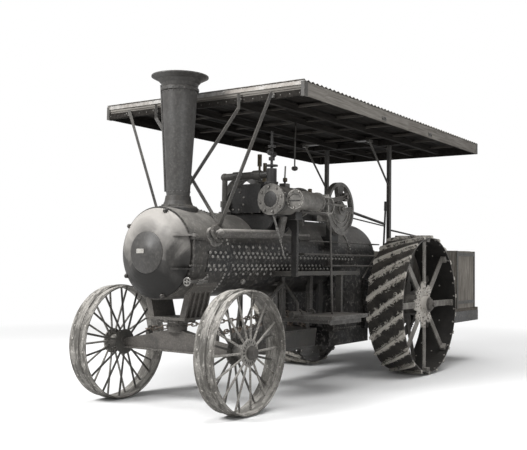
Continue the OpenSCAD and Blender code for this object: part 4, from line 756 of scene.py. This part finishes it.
# place, reach behind and ahead of it, depth in the side board, height outside it, lower and upper edge
trim_plates = [(ROOF_FRONT, -0.004, 0.02, 0.03, 0.006, -0.004, 0.002),
               (ROOF_FRONT, -0.045, 0.002, 0.002, 0.006, -0.004, 0),
               (ROOF_BACK, -0.006, 0.04, 0.03, 0.006, 0, 0)]
trim_plates += [(x, -0.05, 0.05, 0.001, 0.005, 0.02, -0.068) for x in JOINTS]
for side in (1, -1):
    for x, behind, ahead, deep, proud, low, high in trim_plates:
        cut = 0.001 if x in JOINTS else 0.002
        trim.block(at(x + behind, side * (ROOF_HALF - deep), ROOF_LOW + low),
                   at(x + ahead, side * (ROOF_HALF + proud), ROOF_TOP + high), cut)
trim.put("canopy_straps", pipe_black)
nails = Work()
for i in range(62):
    for side in (1, -1):
        foot = at(ROOF_BACK + 0.06 + 0.07 * i, side * ROOF_HALF, ROOF_LOW + (0.03 if i % 2 else 0.1))
        nails.rivet(foot, side * LEFT, 0.005, 0.002, 6)
for i in range(24):
    for step, rise in ((0.014, 0.028), (0, 0.095)):
        nails.rivet(at(ROOF_FRONT + step, -1.15 + 0.1 * i, ROOF_LOW + rise), AHEAD, 0.006, 0.003, 6)
for side in (1, -1):
    for x in (1.635, 1.71, 0.425, 0.5):
        nails.nut(at(x, side * (ROOF_HALF + 0.005), ROOF_LOW + 0.04), side * LEFT, 0.009, 0.008)
for i in range(58):
    for y in (-1.1, -0.66, -0.29, 0.29, 0.66, 1.1):
        nails.turned(at(ROOF_BACK + 0.0205 + 0.0747 * i, y, ROOF_TOP + 0.0165), UP,
                     [(0.009, 0), (0.006, 0.003), (0.002, 0.004)], 6)
nails.put("canopy_nails", rail_iron)
edging = Work()
for x0, x1, z0, z1 in ((-0.03, 0.02, 0.001, 0.005), (0.016, 0.019, -0.03, 0.004)):
    edging.block(at(ROOF_FRONT + x0, -ROOF_HALF - 0.004, ROOF_TOP + z0),
                 at(ROOF_FRONT + x1, ROOF_HALF + 0.004, ROOF_TOP + z1), 0.001)
edging.put("roof_front_edge", roof_zinc)
hangers = Work()
for side in (1, -1):
    for z in (1.28, 1.34):
        hangers.nut(at(-0.02, side * 0.471, z), side * LEFT, 0.013, 0.012)
    for y in (0.9, 0.535):
        hangers.nut(at(ROOF_FRONT + 0.034, side * y, ROOF_LOW + 0.03), AHEAD, 0.01, 0.01)
    foot, normal = on_shell(3.33, 90 - 55 * side, SMOKEBOX_R)
    hangers.turned(foot - 0.006 * normal, normal, [(0.05, 0), (0.05, 0.014), (0.03, 0.022)], 24)
    for step in (-0.036, 0.036):
        hangers.nut(foot + step * AHEAD + 0.008 * normal, normal, 0.009, 0.01)
hangers.tube([at(1.97, 0.31, 2.82), at(1.97, 0.3, 2.58), at(1.97, 0.3, 2.36), at(1.96, 0.3, 2.33)], 0.008)
hangers.turned(at(1.97, 0.3, 2.3), UP,
               [(0.008, 0), (0.03, 0.01), (0.036, 0.03), (0.028, 0.045), (0.008, 0.05)], 16)
hangers.put("canopy_hangers", pipe_black)

# Steering
# A hand wheel turns a bevel shaft and worm, whose roller under the boiler winds in one chain and lets
# out the other; the chains are of round bar links and pull on the eyes of the front axle.
ROLLER_X, ROLLER_Z, ROLLER_R = 1.38, 0.68, 0.06
CHAIN_Y = 0.11
CHAIN_SAG = 0.05
LINK_HALF, LINK_ROUND, LINK_BAR = 0.039, 0.018, 0.0068
CHAIN_LINKS, TURN_LINKS = 33, 7
chain_iron = aged("chain_iron", (0.1, 0.094, 0.086), (0.16, 0.12, 0.09), (0.36, 0.33, 0.3),
                  (0.34, 0.3, 0.26), scale=14.0, stained=0.8, dusty=0.5, smooth=0.5, metallic=0.3)
dress(rail_iron, "steering_column")
dress(cast_black, "steering_gear")


def round_y(a):
    return Vector((math.cos(a), 0, math.sin(a)))


def chain_link(work, middle, along, side):
    rings = []
    for a in fan(20):
        half = (math.cos(a) > 0.01) - (math.cos(a) < -0.01)
        out = math.cos(a) * along + math.sin(a) * side
        spot = middle + half * (LINK_HALF - LINK_ROUND) * along + LINK_ROUND * out
        rings.append(work.ring_of(spot, out, along.cross(side), LINK_BAR, 8))
    work.hoop(rings)


for name, side in (("left", 1), ("right", -1)):
    start = at(ROLLER_X, side * CHAIN_Y, ROLLER_Z + ROLLER_R + 0.0198)
    end = at(3.428, side * 0.4, 0.682)
    way = (end - start).normalized()
    level = UP.cross(way).normalized()
    links = Work()
    for i in range(CHAIN_LINKS):
        t = i / (CHAIN_LINKS - 1)
        sag = CHAIN_SAG * t * (1 - t)
        chain_link(links, start.lerp(end, t) - sag * UP, way, way.cross(level) if i % 2 else level)
    made = links.put("chain_links_" + name, chain_iron, rides=False)
    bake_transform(made)
    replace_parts(made, "chain_" + name)
wraps = Work()
for side in (1, -1):
    for i in range(1, 2 * TURN_LINKS):
        a = math.pi / 2 + 2 * math.pi * i / TURN_LINKS
        out = round_y(a)
        spot = at(ROLLER_X, side * (CHAIN_Y - 0.03 * i / TURN_LINKS), ROLLER_Z) + (ROLLER_R + 0.0125) * out
        leaning = 0.75 * LEFT + (0.66 if i % 2 else -0.66) * out
        chain_link(wraps, spot, Vector((-math.sin(a), 0, math.cos(a))), leaning.normalized())
wraps.put("chain_wraps", chain_iron)
grip = Work()
grip.nut(at(-0.559, -0.3, 1.59), Vector((0.05, 0, 1)).normalized(), 0.022, 0.018)
grip.put("steering_nut", oily_steel)

# Gears and axle
# Cast gears, greased in their teeth, on turned shafts in the side plates.
# The plates are bolted to the firebox, and each bearing of the axle to its plate.
REAR_HUB = (0, 0.8, 0.838)
PLATE_Y = 0.429
gear_iron = aged("gear_iron", (0.045, 0.042, 0.039), (0.02, 0.018, 0.016), (0.2, 0.19, 0.17),
                 (0.14, 0.125, 0.105), stained=0.7, worn=0.9, dusty=0.4, smooth=0.4, metallic=0.2, bump=0.5)
dress(gear_iron, "drive_gear", "pinion_left", "pinion_right", "ring_gear_left", "ring_gear_right")
dress(oily_steel, "rear_axle", "countershaft")
plates = Work()
bolt_places = [(0.33 + 0.075 * i, 1.12) for i in range(4)] + [(0.55, 0.75 + 0.09 * i) for i in range(4)]
bolt_places += [(-0.11, 0.75 + 0.1 * i) for i in range(6)]
for side in (1, -1):
    for x, z in bolt_places:
        plates.nut(at(x, side * PLATE_Y, z), side * LEFT, 0.013, 0.012)
    bearing = at(0, side * PLATE_Y, REAR_HUB[2])
    plates.turned(bearing, side * LEFT, [(0.1, 0), (0.1, 0.03), (0.085, 0.04), (0.056, 0.04)], 32)
    for a in fan(6):
        plates.nut(bearing + side * 0.033 * LEFT + 0.078 * round_y(a), side * LEFT, 0.011, 0.012)
plates.put("plate_bolts", boiler_paint)

# Front axle and wheels
# Forged beam turning on a pin under the pedestal; wrought rims with a raised guide ring and two rows of
# round spokes, pale with dried road dust.
FRONT_HUB = (3.49, 0.737, 0.547)


def hub_place(hub, side):
    return at(hub[0], side * hub[1], hub[2])


def around_group():
    tree = new_group("around_the_axle", {"Centre": (0, 0, 0)}, ["Radius", "Turn", "Outboard", "Streak"])
    shading = Nodes(tree)
    times, vector = shading.times, shading.vector
    centre = tree.nodes.new("NodeGroupInput").outputs["Centre"]
    offset = vector("SUBTRACT", shading.place(), centre)
    along, across, up = shading.parts(offset)
    in_plane = vector("MULTIPLY", offset, (1, 0, 1))
    rim_way = vector("MULTIPLY", vector("NORMALIZE", in_plane), (3.2, 3.2, 3.2))
    drawn = shading.add("CombineXYZ", [("Y", times(across, 26.0))]).outputs[0]
    give = tree.nodes.new("NodeGroupOutput").inputs
    shading.join(vector("LENGTH", in_plane), give["Radius"])
    shading.join(shading.math("ARCTAN2", times(up, -1.0), along), give["Turn"])
    shading.join(times(across, shading.math("SIGN", shading.parts(centre)[1])), give["Outboard"])
    shading.join(shading.noise(vector("ADD", rim_way, drawn), 1.0, 6.0, 0.68, 0.6), give["Streak"])
    return tree


around = around_group()


def turning(material, centre):
    """Radius and outboard reach in metres, turn in radians and streaks of mud, round a wheel's centre."""
    shading, colour = skin_of(material)
    zones = shading.add("Group", [("Centre", centre)], node_tree=around)
    return shading, zones.outputs, colour


def front_dust_and_shade(name, side):
    material = aged(name, (0.25, 0.24, 0.222), (0.08, 0.074, 0.066), (0.5, 0.48, 0.45), (0.5, 0.48, 0.445),
                    stained=0.6, dusty=0.55, smooth=0.6, bump=0.7, deep=0.003)
    shading, zone, colour = turning(material, hub_place(FRONT_HUB, side))
    times, spread, cover = shading.times, shading.spread, shading.cover
    radius, outboard = zone["Radius"], zone["Outboard"]
    # Painted shade: the inboard side of the spokes and hub is darker.
    inboard_shade = times(spread(outboard, 0.035, -0.02), spread(radius, 0.52, 0.49))
    colour = cover(colour, inboard_shade, 0.86, (0.035, 0.033, 0.03))
    mud = times(spread(zone["Streak"], 0.45, 0.54), spread(radius, 0.515, 0.53))
    colour = cover(colour, mud, 0.85, (0.045, 0.042, 0.037))
    # Painted shade: a ring of near-black spots stands in for the shade inside the hub's holes.
    ring = times(spread(radius, 0.078, 0.083), spread(radius, 0.105, 0.1))
    hole_shade = times(spread(shading.math("SINE", times(zone["Turn"], 20.0)), 0.0, 0.35), ring)
    hole_shade = times(hole_shade, spread(outboard, 0.082, 0.085))
    colour = cover(colour, hole_shade, 1.0, (0.012, 0.011, 0.01))
    cap = times(spread(radius, 0.068, 0.062), spread(outboard, 0.09, 0.1))
    return repaint(material, cover(colour, cap, 0.85, (0.04, 0.037, 0.034)))


wheel_dust = aged("wheel_dust", (0.3, 0.285, 0.26), (0.12, 0.11, 0.098), (0.46, 0.44, 0.41),
                  (0.5, 0.475, 0.435), stained=0.45, dusty=0.7, smooth=0.6, bump=0.7, deep=0.003)
axle_dust = aged("axle_dust", (0.045, 0.042, 0.039), (0.085, 0.078, 0.07), (0.22, 0.21, 0.19),
                 (0.2, 0.188, 0.168), stained=0.6, dusty=0.4, smooth=0.5, bump=0.6, deep=0.003)
dress(axle_dust, "front_pedestal", "axle_beam")
for name, side in (("left", 1), ("right", -1)):
    dress(front_dust_and_shade("front_dust_and_shade_" + name, side), "front_wheel_" + name)
    dots = Work()
    for i, a in enumerate(fan(28, 180 / 28)):
        for y in (-0.07, 0.07):
            centre = hub_place(FRONT_HUB, side) + y * LEFT
            dots.rivet(centre + 0.537 * round_y(a), round_y(a), 0.009, 0.0035)
            if i % 2:
                dots.rivet(centre + 0.526 * round_y(a), -round_y(a), 0.009, 0.006)
    dots.put("front_rim_rivets_" + name, wheel_dust, "front_wheel_" + name)
pins = Work()
for side in (1, -1):
    pins.torus(at(3.42, side * 0.4, 0.682), AHEAD, UP, 0.024, 0.008, 16, 8)
for a in fan(6):
    pins.nut(at(FRONT_HUB[0], 0, 0.735) + 0.075 * round_z(a), UP, 0.01, 0.01)
pins.put("axle_fittings", axle_dust, "front_axle")
legs = Work()
for degrees in (-52, 232):
    for i in range(6):
        legs.nut(*on_shell(3.38 + 0.044 * i, degrees, SMOKEBOX_R + 0.012), 0.013, 0.012)
legs.put("pedestal_bolts", axle_dust)

# Rear wheels
# Rolled rims with diagonal lugs riveted on from within, flat-bar spokes riveted to rim and lobed hub,
# and a domed iron cap; dried mud cakes the lugs and the hub's lobes. Painted shade darkens the rim's inside.
LUGS = 22
LUG_LEAN = math.tan(math.radians(35)) / 0.81
RIM_INSIDE = 0.798


def rear_iron(name, side):
    material = aged(name, (0.014, 0.013, 0.012), (0.04, 0.036, 0.032), (0.34, 0.325, 0.3),
                    (0.16, 0.148, 0.13), scale=7.0, worn=0.9, dusty=0.25, bump=0.8, deep=0.005, gloss=0.2)
    shading, zone, colour = turning(material, hub_place(REAR_HUB, side))
    times, plus, spread, cover = shading.times, shading.plus, shading.spread, shading.cover
    phase = times(plus(zone["Turn"], times(zone["Outboard"], LUG_LEAN)), LUGS / (2 * math.pi))
    clods = shading.noise(shading.place(), 16.0, 9.0, 0.75, 1.2)
    ragged = plus(shading.math("PINGPONG", phase, 0.5), spread(clods, 0.36, 0.64, -0.2, 0.2))
    caked = times(spread(ragged, 0.2, 0.1), spread(zone["Radius"], 0.803, 0.808))
    colour = cover(colour, caked, 0.85, (0.46, 0.435, 0.39))
    # Painted shade: the rim's inside is near black.
    rim_inside_shade = spread(zone["Radius"], 0.8, 0.7975)
    return repaint(material, cover(colour, rim_inside_shade, 0.8, (0.012, 0.0115, 0.011)))


def spoke_dust_and_shade(name, side):
    material = aged(name, (0.19, 0.18, 0.165), (0.08, 0.074, 0.066), (0.45, 0.43, 0.4), (0.32, 0.3, 0.27),
                    scale=6.0, worn=0.9, dusty=0.5, smooth=0.55, bump=0.6, deep=0.003)
    shading, zone, colour = turning(material, hub_place(REAR_HUB, side))
    times, spread, cover = shading.times, shading.spread, shading.cover
    radius, outboard = zone["Radius"], zone["Outboard"]
    specks = shading.add("TexVoronoi", [("Vector", shading.place()), ("Scale", 27.0)]).outputs["Distance"]
    caked = cover((0.46, 0.435, 0.4, 1), spread(specks, 0.36, 0.26), 0.75, (0.06, 0.055, 0.05))
    flange = times(spread(radius, 0.29, 0.25), spread(outboard, 0.1, 0.125))
    colour = shading.blend(times(flange, 0.9), colour, caked)
    cap = times(spread(radius, 0.1, 0.085), spread(outboard, 0.15, 0.165))
    colour = cover(colour, cap, 0.9, (0.04, 0.036, 0.032))
    # Painted shade: the inboard spokes are darker.
    inboard_shade = spread(outboard, -0.05, -0.09)
    return repaint(material, cover(colour, inboard_shade, 0.6, (0.03, 0.028, 0.025)))


rivet_dust = aged("rivet_dust", (0.2, 0.19, 0.17), (0.09, 0.083, 0.075), (0.5, 0.48, 0.45),
                  (0.4, 0.375, 0.34), scale=9.0, stained=0.4, worn=1.0, dusty=0.5, smooth=0.45)
for name, side in (("left", 1), ("right", -1)):
    dress(rear_iron("rear_iron_" + name, side), "rear_rim_" + name)
    dress(spoke_dust_and_shade("spoke_dust_and_shade_" + name, side), "rear_spokes_" + name)
    dots = Work()
    centre = hub_place(REAR_HUB, side)
    for a in fan(30, 6):
        out = round_y(-a)
        dots.rivet(centre + side * 0.205 * LEFT + RIM_INSIDE * out, -out, 0.012, 0.009)
    for a in fan(LUGS):
        for y in (-0.15, 0.02):
            out = round_y(y * LUG_LEAN - a)
            dots.rivet(centre + side * y * LEFT + RIM_INSIDE * out, -out, 0.011, 0.008)
    for i, a in enumerate(fan(16)):
        way, y = (-side * LEFT, 0.132) if i % 2 else (side * LEFT, 0.143)
        for r in (0.2, 0.25, 0.772):
            for step in (-0.018, 0.018):
                spot = centre + y * way + r * round_y(-a) + step * Vector((math.sin(a), 0, math.cos(a)))
                dots.rivet(spot, way, 0.012, 0.009)
    dots.put("rear_wheel_rivets_" + name, rivet_dust, "rear_wheel_" + name)

# Camera and light
# The photograph's viewing angle; a pale floor that fades into a plain pale world, and three large
# soft lamps: the key from the right front, one from above, and a weak one from the left.
eye = Vector((8.0902, 4.8259, 1.3308))
yaw, pitch, roll = 3.741678, 0.045835, 0.012455
view_way = Vector((math.cos(yaw) * math.cos(pitch), math.sin(yaw) * math.cos(pitch), math.sin(pitch)))
level_right = Vector((math.sin(yaw), -math.cos(yaw), 0))
level_up = level_right.cross(view_way)
right = math.cos(roll) * level_right + math.sin(roll) * level_up
upward = math.cos(roll) * level_up - math.sin(roll) * level_right
camera_data = bpy.data.cameras.new("camera")
camera_data.lens = 54.72
camera_data.sensor_width = 36.0
camera_data.clip_end = 200
camera = bpy.data.objects.new("camera", camera_data)
bpy.context.collection.objects.link(camera)
stand = Matrix((right, upward, -view_way)).transposed().to_4x4()
stand.translation = eye
camera.matrix_world = stand
scene = bpy.context.scene
scene.camera = camera
scene.view_settings.view_transform = "Standard"


def ray_is(shading, *kinds):
    path = shading.add("LightPath").outputs
    seen = path["Is Camera Ray"]
    for kind in kinds:
        seen = shading.math("MAXIMUM", seen, path["Is " + kind + " Ray"])
    return seen


world = bpy.data.worlds.new("studio")
scene.world = world
world.use_nodes = True
shading = Nodes(world.node_tree)
background = world.node_tree.nodes["Background"]
background.inputs["Color"].default_value = (1, 1, 1, 1)
seen = ray_is(shading, "Glossy", "Transmission")
shading.join(shading.spread(seen, 0, 1, 0.22, 1.0), background.inputs["Strength"])
for name, spot, size, power in (("key", (9.0, -3.0, 7.0), 3.5, 1300),
                                ("above", (1.0, 1.5, 10.0), 8.0, 1300),
                                ("fill", (6.0, 8.0, 3.5), 5.0, 220)):
    lamp = bpy.data.lights.new(name, "AREA")
    lamp.shape = "SQUARE"
    lamp.size = size
    lamp.energy = power
    held = bpy.data.objects.new(name, lamp)
    bpy.context.collection.objects.link(held)
    held.location = spot
    held.rotation_euler = (Vector((0, 0, 1.2)) - Vector(spot)).to_track_quat("-Z", "Y").to_euler()
bpy.ops.mesh.primitive_plane_add(size=120)
floor = bpy.context.object
floor.name = "floor"
floor_pale = bpy.data.materials.new("floor_pale")
floor_pale.use_nodes = True
shading = Nodes(floor_pale.node_tree)
floor_shader = floor_pale.node_tree.nodes["Principled BSDF"]
floor_shader.inputs["Base Color"].default_value = (0.8, 0.8, 0.8, 1)
floor_shader.inputs["Roughness"].default_value = 0.9
far_off = shading.spread(shading.vector("LENGTH", shading.place()), 4.0, 9.0)
plain = shading.add("Emission", [("Color", (1, 1, 1, 1)), ("Strength", 1.0)]).outputs[0]
mix = shading.add("MixShader", [(0, shading.times(ray_is(shading, "Glossy"), far_off)),
                                (1, floor_shader.outputs[0]), (2, plain)]).outputs[0]
shading.join(mix, floor_pale.node_tree.nodes["Material Output"].inputs["Surface"])
floor.data.materials.append(floor_pale)
floor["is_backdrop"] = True

low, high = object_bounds()
